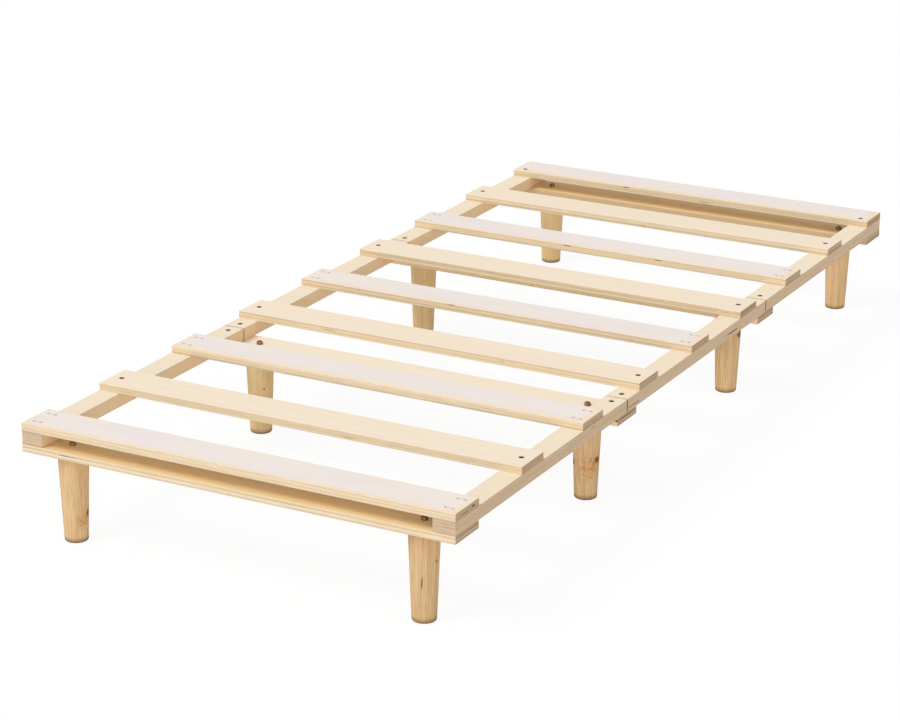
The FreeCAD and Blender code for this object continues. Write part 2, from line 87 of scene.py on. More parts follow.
facing = Matrix.Rotation(CAMERA_AZIMUTH, 3, "Z") @ Matrix.Rotation(math.pi / 2 - CAMERA_ELEVATION, 3, "X")
facing = facing @ Matrix.Rotation(CAMERA_ROLL, 3, "Z")
camera = show(bpy.data.objects.new("camera", bpy.data.cameras.new("camera")))
camera.matrix_world = Matrix.Translation(CAMERA_PLACE) @ facing.to_4x4()
camera.data.lens = LENS_LENGTH
camera.data.sensor_width = 36.0
camera.data.clip_end = 60.0
scene.camera = camera
print("camera looks along", [round(v, 3) for v in facing @ Vector((0, 0, -1))])

# %% [markdown]
# ## Writing shader maths as plain sums
#
# Node trees are drawn as boxes and wires, and a script that makes them box by box
# soon hides the idea. `Wire` stands for one output of a node. Adding or multiplying
# two wires puts a Math node behind them, so `1 - split` reads as it should. Any
# other node comes from one method, `node`, and `geo` and `then` are short ways to ask it
# for a Geometry Nodes node. Both kinds of tree use the same Math node, so one class
# serves both.

# %% A wire that can be added and multiplied
def find_socket(sockets, key):
    """A visible socket by its name, or by its place in the list."""
    seen = [socket for socket in sockets if socket.enabled]
    return seen[key] if isinstance(key, int) else next(socket for socket in seen if socket.name == key)


def spaced(named):
    """Values by socket name, with a space for each underscore in the name."""
    return {label.replace("_", " "): value for label, value in named.items()}


def plug(value, socket, tree):
    """Lead a wire into a socket, or set a plain value on it."""
    if isinstance(value, Wire):
        tree.links.new(value.socket, socket)
    else:
        socket.default_value = value


class Wire:
    """One output of a node in a tree."""

    def __init__(self, tree, socket=None):
        self.tree = tree
        self.socket = socket

    def node(self, kind, settings=None, sockets=None, output=0):
        """Add a node: settings first, then a value or a wire for each named socket."""
        made = self.tree.nodes.new(kind)
        for key, value in (settings or {}).items():
            setattr(made, key, value)
        for key, value in (sockets or {}).items():
            plug(value, find_socket(made.inputs, key), self.tree)
        if any(socket.enabled for socket in made.outputs):
            return Wire(self.tree, find_socket(made.outputs, output))

    def geo(self, kind, settings=None, **sockets):
        """Add a Geometry Nodes node, with underscores for the spaces in socket names."""
        return self.node(f"GeometryNode{kind}", settings, spaced(sockets))

    def then(self, kind, settings=None, **sockets):
        """The same, with this wire led into the new node's first socket."""
        return self.node(f"GeometryNode{kind}", settings, {0: self, **spaced(sockets)})

    def out(self, name):
        """Another output of the same node."""
        return Wire(self.tree, find_socket(self.socket.node.outputs, name))

    def math(self, operation, *others):
        return self.node("ShaderNodeMath", {"operation": operation}, dict(enumerate((self, *others))))

    def vector(self, operation, *others):
        return self.node("ShaderNodeVectorMath", {"operation": operation}, dict(enumerate((self, *others))))

    def parts(self):
        """The three parts of a vector."""
        first = self.node("ShaderNodeSeparateXYZ", sockets={0: self}, output="X")
        return first, first.out("Y"), first.out("Z")

    def xyz(self, x=0.0, y=0.0, z=0.0):
        """A vector from three parts."""
        return self.node("ShaderNodeCombineXYZ", sockets={"X": x, "Y": y, "Z": z})

    def turn(self):
        """A rotation about Z by this angle."""
        return self.node("FunctionNodeEulerToRotation", sockets={0: self.xyz(z=self)})

    def smooth(self, low, high):
        """0 below low, 1 above high, and a soft step between."""
        settings = {"interpolation_type": "SMOOTHSTEP"}
        return self.node("ShaderNodeMapRange", settings, {"Value": self, "From Min": low, "From Max": high})

    def noise(self, stretch, shift=(0, 0, 0), detail=2.0, roughness=0.5):
        """Noise drawn out along the grain: stretch is its repeats in a metre along each way."""
        return self.node("ShaderNodeTexNoise", {"noise_dimensions": "3D"}, {
            "Vector": self.vector("MULTIPLY", stretch).vector("ADD", shift),
            "Scale": 1.0, "Detail": detail, "Roughness": roughness,
        }, "Fac")

    def __add__(self, other):
        return self.math("ADD", other)

    def __sub__(self, other):
        return self.math("SUBTRACT", other)

    def __rsub__(self, other):
        return self.node("ShaderNodeMath", {"operation": "SUBTRACT"}, {0: other, 1: self})

    def __mul__(self, other):
        return self.math("MULTIPLY", other)

    def __truediv__(self, other):
        return self.math("DIVIDE", other)

    __radd__ = __add__
    __rmul__ = __mul__


def tone(red, green, blue):
    """A screen colour, each part 0 to 255, as the light values that a shader uses."""
    shares = [part / 255 for part in (red, green, blue)]
    linear = [((share + 0.055) / 1.055) ** 2.4 if share > 0.04045 else share / 12.92 for share in shares]
    return (*linear, 1.0)


print("a mid grey of 128 is", round(tone(128, 128, 128)[0], 3), "as light")

# %% [markdown]
# ## The studio
#
# A product shot stands on a white sweep under large soft lights. Area lamps could
# do that, but on a two-metre object they light one end more than the other. A sun
# with a wide angle has the softness of a big lamp and stays even along the bed. One
# hangs high at the front left, and a weaker one stands low in front, to reach in
# under the slats. The world supplies the rest, and together they give about the
# light at which a colour renders as it is written.
#
# The floor looks white to the camera and is greyer for the light that bounces off
# it, so that the sides of the timber stay darker than the tops.

# %% Lights, world and floor
WHITE = (1, 1, 1, 1)
SKY_STRENGTH = 0.56
LAMPS = {
    "high_lamp": ((-0.36, -0.50, 0.80), 1.57, 28),
    "low_lamp": ((0.50, -0.82, 0.16), 0.98, 42),
}
FLOOR_SIZE = 40.0
FLOOR_DROP = 0.2 * MM
BOUNCE_SHADE = 0.85
SHADOW_SHARE = 0.09


def emptied(holder):
    """A wire to build on in a world's or a material's emptied tree."""
    holder.use_nodes = True
    holder.node_tree.nodes.clear()
    return Wire(holder.node_tree)


def shader(wire, kind, **sockets):
    return wire.node(f"ShaderNode{kind}", sockets=spaced(sockets))


def blend(share, low, high):
    """Two shaders mixed."""
    return low.node("ShaderNodeMixShader", sockets={0: share, 1: low, 2: high})


scene.world = bpy.data.worlds.new("studio")
sky = emptied(scene.world)
ray = sky.node("ShaderNodeLightPath", output="Is Camera Ray")
seen_directly = ray.math("MAXIMUM", ray.out("Is Glossy Ray").math("MAXIMUM", ray.out("Is Transmission Ray")))
lighting = shader(sky, "Background", Color=WHITE, Strength=SKY_STRENGTH)
backdrop = shader(sky, "Background", Color=WHITE, Strength=1.0)
shader(sky, "OutputWorld", Surface=blend(seen_directly, lighting, backdrop))

upward_light = SKY_STRENGTH
for name, (towards, strength, angle) in LAMPS.items():
    lamp = show(bpy.data.objects.new(name, bpy.data.lights.new(name, "SUN")))
    lamp.data.energy = strength
    lamp.data.angle = math.radians(angle)
    lamp.rotation_euler = Vector(towards).to_track_quat("Z", "Y").to_euler()
    upward_light += strength / math.pi * Vector(towards).normalized().z

floor_finish = bpy.data.materials.new("white_floor")
paint = emptied(floor_finish)
eye = paint.node("ShaderNodeLightPath", output="Is Camera Ray")
under = paint.node("ShaderNodeNewGeometry", output="Backfacing")
plain = shader(paint, "Emission", Color=WHITE, Strength=1.0)
white = blend(SHADOW_SHARE, plain, shader(paint, "BsdfDiffuse", Color=WHITE))
grey = shader(paint, "BsdfDiffuse", Color=(BOUNCE_SHADE, BOUNCE_SHADE, BOUNCE_SHADE, 1))
clear = shader(paint, "BsdfTransparent")
shader(paint, "OutputMaterial", Surface=blend(under, blend(eye, grey, white), clear))

reach = FLOOR_SIZE / 2
floor_mesh = bpy.data.meshes.new("floor")
corners = [(x * reach, y * reach, 0) for x, y in ((-1, -1), (1, -1), (1, 1), (-1, 1))]
floor_mesh.from_pydata(corners, [], [(0, 1, 2, 3)])
floor_mesh.materials.append(floor_finish)
floor = show(bpy.data.objects.new("floor", floor_mesh))
floor.location.z = -FLOOR_DROP
print("upward faces get", round(upward_light, 2), "of full light")

# %% [markdown]
# ## Laminated timber
#
# The slats, rails and boards are sawn from panels of thin veneers glued in layers.
# Three kinds of face show: the broad veneer, the long edge where the layers are
# stripes, and the cut end where the same stripes are darker, because the open ends
# of the fibres soak up light.
#
# A picture of wood could be wrapped round each piece, but it would have to be
# unwrapped for each one. A procedural wood is worked out at each point instead. It
# reads `plank`, the point's place in its own board, so the grain follows the board
# whichever way that lies, and `cut_side`, which says what kind of face it is on.

# %% Helpers for every finish
RELIEF_DEPTH = 0.25 * MM


def start_finish(name):
    """A material with one plain Principled shader, and a wire to build on."""
    finish = bpy.data.materials.new(f"{name}_finish")
    finish.use_nodes = True
    finish["slot"] = name
    return finish, Wire(finish.node_tree)


def feed(finish, **inputs):
    """Lead wires and set values into the shader of a finish."""
    for label, value in spaced(inputs).items():
        plug(value, finish.node_tree.nodes["Principled BSDF"].inputs[label], finish.node_tree)
    print("finish:", finish["slot"], "with", len(finish.node_tree.nodes), "nodes")
    return finish


def attribute(wire, name, output="Vector"):
    return wire.node("ShaderNodeAttribute", {"attribute_name": name}, output=output)


def mix(share, low, high):
    """Blend two colours, each a wire or a fixed colour."""
    return share.node("ShaderNodeMix", {"data_type": "RGBA"}, {"Factor": share, "A": low, "B": high})


def coats(colour, *layers):
    """A colour with others laid over it; each layer is a share and a colour."""
    for share, over in layers:
        colour = mix(share, colour, over)
    return colour


def bump(relief, strength):
    sockets = {"Strength": strength, "Distance": RELIEF_DEPTH, "Height": relief}
    return relief.node("ShaderNodeBump", sockets=sockets)


def seed_and_shift(wire):
    """A piece's own number, and its own corner of the noise."""
    seed = attribute(wire, "plank_seed", "Fac")
    return seed, seed.xyz(seed * 7.31, seed * 3.77, seed * 5.13)

# %% A laminate for each kind of timber piece
def laminate(
        name, ply, face, figure, edge, deep_edge, end, deep_end,
        arris=0.0, bands=1.0, top_line=0.3, centre=None):
    """Veneered timber in layers of thickness ply.

    arris is how much painted shade darkens the top and bottom of the long edges, where they meet other
    pieces, and the ends at a rail joint; bands how strongly the layers show;
    and top_line how much painted shade darkens the top of a cut end, under the piece that rests on it.
    centre holds three tones for the paler middle of a face, if it has one.
    """
    finish, wire = start_finish(name)
    seed, shift = seed_and_shift(wire)
    plank = attribute(wire, "plank")
    along, across, up = plank.parts()
    half_length, half_width, half_height = attribute(wire, "plank_half").parts()
    warm_face, warm_edge, painted_falloff = attribute(wire, "plank_look").parts()
    faces_end, faces_side, _ = attribute(wire, "cut_side").parts()

    def grain(stretch, *character):
        return plank.noise(stretch, shift, *character)

    def chance_of(number):
        return number.node("ShaderNodeTexWhiteNoise", {"noise_dimensions": "1D"}, {"W": number}, "Value")

    near_top = up.smooth(half_height * 2 - 1.9 * MM, half_height * 2 - 0.3 * MM)
    near_bottom = 1 - up.smooth(0.3 * MM, 1.7 * MM)
    near_end = 1 - (half_length - along.math("ABSOLUTE")).smooth(1.1 * MM, 2.3 * MM)
    fibres = grain((22, 950, 950), 3, 0.6)
    streaks = grain((1.9, 46, 46), 3, 0.55)
    clouds = grain((4.5, 16, 16))
    patches = grain((42, 170, 170), 3, 0.65)
    pores = grain((95, 2600, 2600), 1).smooth(0.66, 0.78)
    flame = ((across * 55 + grain((1.3, 7, 7), 1) * 9) * 6.283).math("SINE") * 0.5 + 0.5

    broad = coats(
        mix(fibres * 0.30 + streaks * 0.46 + flame * 0.14 - 0.05, face, figure),
        (patches.smooth(0.42, 0.70) * 0.42, BLUSH),
        # warm_face gives painted warm light and shade to a face that lies in shade under the slats.
        (warm_face * (0.86 + 0.14 * streaks),
         mix(streaks.smooth(0.3, 0.7) * 0.6 + patches.smooth(0.3, 0.7) * 0.3, WARM, DEEP_WARM)))
    if centre:
        ragged = (streaks - 0.5) * 22 * MM
        from_front = across + half_width + ragged
        from_back = half_width - across + ragged
        from_right = half_length - along + (clouds - 0.5) * 30 * MM
        from_left = along + half_length + (clouds - 0.5) * 24 * MM
        middle = from_front.smooth(2 * MM, 17 * MM) * from_back.smooth(-6 * MM, 6 * MM)
        middle = middle * from_right.smooth(2 * MM, 26 * MM) * from_left.smooth(-10 * MM, 14 * MM)
        tint = coats(
            mix(grain((9, 30, 30), 3, 0.6).smooth(0.35, 0.65), centre[0], centre[1]),
            (clouds.smooth(0.42, 0.72) * 0.8, centre[2]),
            (fibres.smooth(0.3, 0.7) * 0.16, figure),
            (patches.smooth(0.45, 0.68) * 0.35, BLUSH))
        broad = mix(middle * (0.80 + streaks * 0.2), broad, tint)
    # Painted shade: painted_falloff darkens the faces of slats further back, and arris darkens a rail's top
    # face next to a joint.
    broad = coats(broad, (pores * 0.16, figure), (painted_falloff + near_end * (arris * 0.55), PAINTED_SHADE_BROWN))

    level = up / ply + (grain((5, 5, 0), 1) - 0.5) * 0.22
    layer = (level + 0.001).math("FLOOR")
    within = level - layer
    shade = chance_of(layer * 1.37 + seed * 9.1)
    dark_layer = shade.smooth(0.70, 0.86) * (0.45 + 0.55 * streaks.smooth(0.35, 0.6))
    strength = chance_of((level + 0.5).math("FLOOR") * 2.11 + seed * 5.7)
    line = 1 - within.math("MINIMUM", 1 - within).smooth(0.05, 0.26)
    line = line * strength.smooth(0.1, 0.7) * grain((14, 14, 450)).smooth(0.25, 0.6)
    edge_fibres = grain((16, 1400, 1400), 3, 0.6)
    seam_shade_patches = grain((60, 60, 330)).smooth(0.38, 0.58) * 0.65 + 0.35
    stripes = coats(
        mix(shade * (0.42 * bands) + edge_fibres.smooth(0.25, 0.75) * 0.34 - 0.06, edge, deep_edge),
        (dark_layer * (0.30 * bands) + line * (0.58 * bands), GLUE_AND_SHADE),
        (patches.smooth(0.40, 0.66) * 0.45, mix(shade, BLUSH_EDGE, deep_edge)),
        # Warm edge tones: painted light for edges that lie in shade under the slats.
        (warm_edge, mix(edge_fibres, WARM_EDGE, DEEP_WARM_EDGE)),
        # An edge look above 1 adds painted shade brown.
        (warm_edge - 1, PAINTED_SHADE_BROWN),
        # Painted shade: a dark line along the top and bottom of a long edge, where it meets the piece above
        # or below.
        (near_top * arris + near_bottom * (arris * 0.6 + 0.10), GLUE_AND_SHADE),
        # Painted shade on the side faces next to a rail joint, in patches.
        (near_end * seam_shade_patches * (arris * 1.2), PAINTED_SHADE_BROWN))

    speckle = grain((1500, 1500, 2300), 2, 0.7).smooth(0.25, 0.75) * 0.30
    blotches = grain((300, 300, 420), 3, 0.65).smooth(0.3, 0.7) * 0.30
    cut = coats(
        mix(shade * (0.45 * bands) + speckle + blotches - 0.1, end, deep_end),
        (dark_layer * (0.50 * bands) + line * (0.85 * bands), GLUE_AND_SHADE),
        # Painted shade: a dark line at the bottom of a cut end, where it sits on the piece below, and at its
        # top by top_line, under the piece that rests on it.
        (near_bottom * 0.75 + near_top * top_line, GLUE_AND_SHADE))
    colour = coats(broad, (faces_side.smooth(0.45, 0.85), stripes), (faces_end.smooth(0.45, 0.85), cut))
    relief = bump(fibres * 0.6 + edge_fibres * 0.4 - line * 0.5, 0.25)
    roughness = 0.52 + fibres * 0.22
    return feed(finish, Base_Color=colour, Roughness=roughness, Normal=relief, Specular_IOR_Level=0.3)


BLUSH = tone(244, 222, 202)
BLUSH_EDGE = tone(228, 196, 166)
# Warm tones for faces that lie in shade under the slats: painted warm bounced light, darker on the front
# board's top and lighter on the left rails' inner faces.
WARM = tone(244, 214, 156)
DEEP_WARM = tone(234, 198, 136)
WARM_EDGE = tone(249, 217, 174)
DEEP_WARM_EDGE = tone(239, 206, 160)
# Glue lines between the plies, and the painted shade lines where pieces meet.
GLUE_AND_SHADE = tone(150, 108, 70)
# The brown that painted shade darkens towards: falloff on the slats, the shade in a rail joint, and the back
# board's edge under slat 9.
PAINTED_SHADE_BROWN = tone(96, 52, 34)
CUT_TONES = (tone(231, 215, 184), tone(211, 185, 146), tone(204, 178, 146), tone(164, 135, 104))
PALE_MIDDLE = (tone(239, 231, 231), tone(234, 227, 230), tone(240, 233, 225))
BOARD_THICKNESS = 14 * MM
BOARD_PLY = BOARD_THICKNESS / 5
RAIL_PLY = 25 * MM / 9

slat_veneer_pale = laminate(
    "slat_veneer_pale", BOARD_PLY, tone(246, 229, 202), tone(234, 210, 174), *CUT_TONES, centre=PALE_MIDDLE)
slat_veneer_cream = laminate(
    "slat_veneer_cream", BOARD_PLY, tone(247, 234, 213), tone(236, 215, 184), *CUT_TONES)
rail_laminate = laminate(
    "rail_laminate", RAIL_PLY, tone(243, 230, 207), tone(233, 213, 180), tone(215, 189, 156),
    tone(190, 158, 120), tone(210, 186, 156), tone(178, 149, 119), arris=0.38, bands=0.45)
board_laminate = laminate(
    "board_laminate", BOARD_PLY, tone(247, 239, 222), tone(239, 223, 194), *CUT_TONES, top_line=0.75)

# %% [markdown]
# ## The inside of a split
#
# Cheap laminate has short splits and missing bits along its edges, where a knot in
# one layer fell out. They are cut into the timber as real hollows further down. The
# inside of one is dark brown: partly the torn wood's own colour, partly painted shade in the hollow.

# %% Dark wood in splits, and pressed wood round a staple
def hollow_wood(name, dark, pale):
    finish, wire = start_finish(name)
    mottle = wire.node("ShaderNodeTexCoord", output="Object").noise((400, 400, 900), detail=3, roughness=0.6)
    return feed(finish, Base_Color=mix(mottle.smooth(0.3, 0.7), dark, pale), Roughness=0.8)


# Dark brown in splits: partly the torn wood, partly painted shade in the hollow.
split_wood = hollow_wood("split_wood", tone(78, 46, 26), tone(146, 102, 64))
# The dents at the staple ends are grey-brown: partly crushed wood, partly painted shade in the dent.
pressed_wood = hollow_wood("pressed_wood", tone(150, 132, 130), tone(222, 212, 208))

# %% [markdown]
# ## Turned pine
#
# A leg is turned from one square of solid pine, so its pattern is the tree's own
# growth rings, sliced by the lathe. The lines run straight up the sides and curve
# over where the taper cuts across them.
#
# The finish works the way the tree did. `log` is the place of a point in the trunk
# that the leg came from, and the distance from the trunk's middle says which ring it
# is in. A branch leaves a knot: the rings part round it, and its core is dark.

# %% Pine with growth rings and knots
def pine(name):
    finish, wire = start_finish(name)
    seed, shift = seed_and_shift(wire)
    log = attribute(wire, "log")
    stem = attribute(wire, "stem")
    branch = 0
    parting = 0
    for number in (1, 2, 3):
        spot = attribute(wire, f"knot_{number}")
        outward = spot.vector("MULTIPLY", (1, 1, 0)).vector("NORMALIZE")
        offset = stem.vector("SUBTRACT", spot)
        depth = offset.vector("DOT_PRODUCT", outward)
        beside = offset.vector("SUBTRACT", outward.vector("SCALE", depth))
        beside = beside.vector("DIVIDE", attribute(wire, f"knot_{number}_reach"))
        away = beside.vector("LENGTH") + (stem.noise((160, 160, 120), shift) - 0.5) * 0.55
        outside = depth.smooth(-14 * MM, -6 * MM)
        if number < 3:
            branch = (1 - away.smooth(0.55, 1.1)) * outside + branch
        else:
            curl = (away * away * -0.13).math("EXPONENT") * outside
        parting = (away * away * -0.22).math("EXPONENT") * outside + parting

    from_pith, beside_pith, _ = log.parts()
    radius = (from_pith * from_pith + beside_pith * beside_pith).math("SQRT")
    ring = radius * 400 + log.noise((26, 26, 2.6), shift) * 2.4 + log.noise((60, 60, 7), shift) * 0.8
    within = (ring + parting * 2.6).math("FRACT")
    late = within.smooth(0.35, 0.92) * (1 - within.smooth(0.93, 1.0))
    season = wire.xyz(radius).noise((170, 1, 1), shift, 1)
    fibres = log.noise((1100, 1100, 16), shift, 3, 0.6)
    blush = log.noise((42, 42, 5), shift)
    bands = log.noise((150, 150, 3), shift)
    threads = log.noise((430, 430, 8), shift, 3, 0.6)
    flecks = log.noise((640, 640, 26), shift, 3, 0.65)
    curls = stem.noise((190, 190, 150), shift, 2, 0.55)
    # The lowest 13 mm of a leg darkens towards the floor.
    foot = 1 - stem.parts()[2].smooth(0.0, 13.0 * MM)
    painted_shade_share, painted_light_share, _ = attribute(wire, "plank_look").parts()
    heart = mix(stem.noise((420, 420, 420), shift, 3), tone(70, 38, 24), tone(146, 94, 54))
    colour = coats(
        mix(blush * 0.9, tone(231, 206, 161), tone(220, 187, 134)),
        (bands.smooth(0.44, 0.60) * 0.72, tone(212, 173, 132)),
        (late * (0.34 + season * 0.50), tone(188, 138, 82)),
        (threads.smooth(0.45, 0.72) * 0.62, tone(190, 146, 96)),
        (fibres.smooth(0.35, 0.8) * 0.26, tone(192, 148, 100)),
        (flecks.smooth(0.58, 0.72) * 0.42, tone(158, 112, 68)),
        ((parting * 0.55).math("MINIMUM", 1.0), tone(208, 152, 90)),
        (curl * curls.smooth(0.48, 0.64) * 0.56, tone(140, 92, 48)),
        # Painted shade and painted light, set for each leg.
        (painted_shade_share, tone(140, 96, 60)),
        (painted_light_share, tone(255, 226, 164)),
        (branch.math("MINIMUM", 1.0), heart),
        (foot * (0.50 + fibres * 0.7), tone(116, 80, 46)))
    relief = bump(late * 0.5 + fibres * 0.5, 0.3)
    roughness = 0.62 - late * 0.16
    return feed(finish, Base_Color=colour, Roughness=roughness, Normal=relief, Specular_IOR_Level=0.35)


leg_pine = pine("leg_pine")

# %% [markdown]
# ## Metal
#
# The bolts are blackened to a brown bronze, the insert nuts and wood screws are zinc
# plated, and the staples are bright wire. Each is a metal with its own colour and a
# little unevenness in its gloss. Metal has hardly any colour of its own: it shows
# its surroundings, so the roughness does most of the work.

# %% Four metals
def metal(name, bright, dull, gloss, patch):
    finish, wire = start_finish(name)
    place = wire.node("ShaderNodeTexCoord", output="Object")
    blotch = place.noise((patch, patch, patch), detail=3, roughness=0.6)
    scuff = place.noise((2200, 2200, 700), roughness=0.6)
    roughness = blotch * 0.2 + scuff * 0.15 + gloss
    return feed(finish, Base_Color=mix(blotch, bright, dull), Roughness=roughness, Metallic=1.0)


bronzed_steel = metal("bronzed_steel", tone(140, 113, 84), tone(84, 64, 44), 0.30, 350)
zinc_steel = metal("zinc_steel", tone(206, 204, 196), tone(168, 166, 160), 0.22, 500)
# The nuts are the same bronzed steel, painted lighter: painted light for nuts that sit in shade under the
# slats.
nut_steel = metal("nut_steel", tone(178, 148, 112), tone(104, 76, 52), 0.34, 350)
nut_steel["slot"] = bronzed_steel["slot"]
staple_steel = metal("staple_steel", tone(224, 224, 228), tone(176, 176, 184), 0.22, 300)

# %% [markdown]
# ## Where the holes go
#
# Before anything is cut, a maker marks out. Each hole, slot or split is one point of
# a small mesh: the point's place is its middle, and two attributes say its kind and
# its size. The same points can then be read by Geometry Nodes, which puts a cutter
# on each. The alternative, a Boolean modifier for each hole, would be a long list of
# modifiers for every board.

# %% Marking out
DRILLED, SLOT, SPLIT, COUNTERSUNK, DENT = range(5)
SIDES = (-1, 1)
OVERCUT = 0.6 * MM
BOLT_HOLE = 7.0 * MM
HEAD_RECESS = 10.6 * MM
HEAD_RECESS_DEPTH = 6.4 * MM
INSERT_HOLE = 9.5 * MM
INSERT_DEPTH = 12.0 * MM
FLANGE_RECESS = 13.0 * MM
FLANGE_DEPTH = 1.5 * MM
JOINT_BOLT_OFFSET = 21.5 * MM
LAST_BOLT_INSET = 16 * MM
STAPLE_CROWN = 13.0 * MM
STAPLE_WIRE = 1.2 * MM
STAPLE_SINK = 0.3 * MM
STAPLE_LENGTH = 30.0 * MM
STAPLE_OFFSET = 21.0 * MM
SCREW_OFFSET = 14.0 * MM
SCREW_SHANK = 3.8 * MM
SCREW_HEAD = 7.6 * MM
SCREW_HEAD_DEPTH = 2.4 * MM
SCREW_LENGTH = 32.0 * MM
STUD_DEPTH = 37.0 * MM


def drilled(x, y, low, high, diameter):
    return (DRILLED, (x, y, (low + high) / 2), (diameter, diameter, high - low))


def bolt_hole(x, y, low, high, head=False, insert=False):
    """A hole through a box, with room for a bolt's head above or an insert nut below."""
    marks = [drilled(x, y, low.z - OVERCUT, high.z + OVERCUT, BOLT_HOLE)]
    if head:
        marks.append(drilled(x, y, high.z - HEAD_RECESS_DEPTH, high.z + 2 * OVERCUT, HEAD_RECESS))
    if insert:
        marks.append(drilled(x, y, low.z - 2 * OVERCUT, low.z + INSERT_DEPTH, INSERT_HOLE))
        marks.append(drilled(x, y, low.z - 3 * OVERCUT, low.z + FLANGE_DEPTH, FLANGE_RECESS))
    return marks


def slot(x, y, low, high, width, depth):
    return (SLOT, (x, y, (low + high) / 2), (width, depth, high - low))


def staple_legs(x, y, low, high):
    """Slots for the two legs of a staple."""
    reach = (STAPLE_CROWN - STAPLE_WIRE) / 2
    return [slot(x + side * reach, y, low, high, STAPLE_WIRE, STAPLE_WIRE) for side in SIDES]


def split(x, y, z, length, height, depth, lengthwise=False):
    """A hollow in an edge, its sizes in millimetres. lengthwise lays it along the bed."""
    size = (depth, length, height) if lengthwise else (length, depth, height)
    return (SPLIT, (x, y, z), tuple(part * MM for part in size))


def marked_out(name, marks):
    """A mesh with a point for each mark."""
    mesh = bpy.data.meshes.new(f"{name}_marks")
    mesh.from_pydata([place for kind, place, size in marks], [], [])
    kinds = mesh.attributes.new("kind", "INT", "POINT")
    sizes = mesh.attributes.new("cutter", "FLOAT_VECTOR", "POINT")
    for index, (kind, place, size) in enumerate(marks):
        kinds.data[index].value = kind
        sizes.data[index].vector = size
    return mesh


def middle_of(node):
    low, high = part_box(node)
    return (low + high) / 2


rail_line = middle_of("rail_right_front").x
leg_line = middle_of("leg_front_right").x
slats = [f"slat_{number}" for number in range(1, 10)]
STAPLED = (0, 2, 4, 6)
LAST = 8
slat_lines = [middle_of(name).y for name in slats]
bolt_lines = {index: slat_lines[index] for index in range(9) if index not in STAPLED}
bolt_lines[LAST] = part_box("slat_9")[0].y + LAST_BOLT_INSET
print("bolt lines across the bed:", {slats[i]: round(y, 4) for i, y in bolt_lines.items()})

# %% [markdown]
# ## Geometry Nodes: one cutter on each mark
#
# This small tree is used inside the two larger ones. It sorts the marks by kind,
# puts the right cutter on each, scaled by its size, and takes them all out of the
# timber in one Boolean. The cutters for splits are roughened first, so that a split
# has a torn outline, and what they cut is given the dark wood.

# %% Starting a tree and running it
def label_of(key):
    return key.replace("_", " ").title()


def start_tree(name, **inputs):
    """A Geometry Nodes tree with named inputs, each a kind or a first value; and a wire for each input."""
    kinds = {float: "Float", int: "Int", tuple: "Vector"}
    tree = bpy.data.node_groups.new(name, "GeometryNodeTree")
    tree.is_modifier = True
    for key, value in inputs.items():
        kind = kinds.get(type(value), value)
        socket = tree.interface.new_socket(label_of(key), in_out="INPUT", socket_type=f"NodeSocket{kind}")
        if type(value) in kinds:
            socket.default_value = value
    tree.interface.new_socket("Geometry", in_out="OUTPUT", socket_type="NodeSocketGeometry")
    first = Wire(tree).node("NodeGroupInput")
    return tree, SimpleNamespace(**{key: first.out(label_of(key)) for key in inputs})


def finish_tree(geometry):
    geometry.node("NodeGroupOutput", sockets={"Geometry": geometry})
    print("tree:", geometry.tree.name, "with", len(geometry.tree.nodes), "nodes")


def run_tree(tree, name, points, **values):
    """Run a tree on a mesh of points and keep the result as a plain mesh object."""
    holder = show(bpy.data.objects.new(f"{name}_marks", points))
    modifier = holder.modifiers.new(tree.name, "NODES")
    modifier.node_group = tree
    labels = {label_of(key): value for key, value in values.items()}
    for item in tree.interface.items_tree:
        if item.item_type == "SOCKET" and item.in_out == "INPUT" and item.name in labels:
            modifier[item.identifier] = labels[item.name]
    graph = bpy.context.evaluated_depsgraph_get()
    mesh = bpy.data.meshes.new_from_object(holder.evaluated_get(graph), depsgraph=graph)
    mesh.name = name
    if mesh.validate():
        print("the mesh of", name, "had faults")
    holder.modifiers.remove(modifier)
    bpy.data.objects.remove(holder)
    return show(bpy.data.objects.new(name, mesh))

# %% The cutting tree
TEAR_SCALE = 420.0

cutting_tree, given = start_tree(
    "cut_marks", timber="Geometry", marks="Geometry", torn=0.35 * MM, dark_wood="Material",
    pressed_wood="Material",
)
kind = given.marks.geo("InputNamedAttribute", {"data_type": "INT"}, Name="kind")
size = kind.geo("InputNamedAttribute", {"data_type": "FLOAT_VECTOR"}, Name="cutter")
pebble = kind.geo("MeshIcoSphere", Radius=0.5, Subdivisions=3)
shapes = {
    DRILLED: kind.geo("MeshCylinder", Vertices=24, Radius=0.5, Depth=1.0),
    SLOT: kind.geo("MeshCube", Size=(1, 1, 1)),
    SPLIT: pebble,
    COUNTERSUNK: kind.geo("MeshCone", Vertices=24, Radius_Top=0.25, Radius_Bottom=0.5, Depth=1.0),
    DENT: pebble,
}
cutters = {}
same = {"data_type": "INT", "operation": "EQUAL"}
for number, shape in shapes.items():
    chosen = kind.node("FunctionNodeCompare", same, {0: kind, 1: number})
    placed = given.marks.then("InstanceOnPoints", Selection=chosen, Instance=shape, Scale=size)
    cutters[number] = placed.then("RealizeInstances")

noise = {"Vector": kind.geo("InputPosition"), "Scale": TEAR_SCALE}
rough = kind.node("ShaderNodeTexNoise", {"noise_dimensions": "3D"}, noise, "Color")
push = rough.vector("SUBTRACT", (0.5, 0.5, 0.5)).vector("MULTIPLY", (3.0, 1.0, 1.0))
push = push.vector("SCALE", given.torn)
for number, wood in ((SPLIT, given.dark_wood), (DENT, given.pressed_wood)):
    cutters[number] = cutters[number].then("SetPosition", Offset=push).then("SetMaterial", Material=wood)
joined = push.geo("JoinGeometry")
for number in (DRILLED, SLOT, COUNTERSUNK, SPLIT, DENT):
    plug(cutters[number], joined.socket.node.inputs[0], cutting_tree)
exact = {"operation": "DIFFERENCE", "solver": "EXACT"}
finish_tree(given.timber.then("MeshBoolean", exact, Mesh_2=joined, Self_Intersection=True))

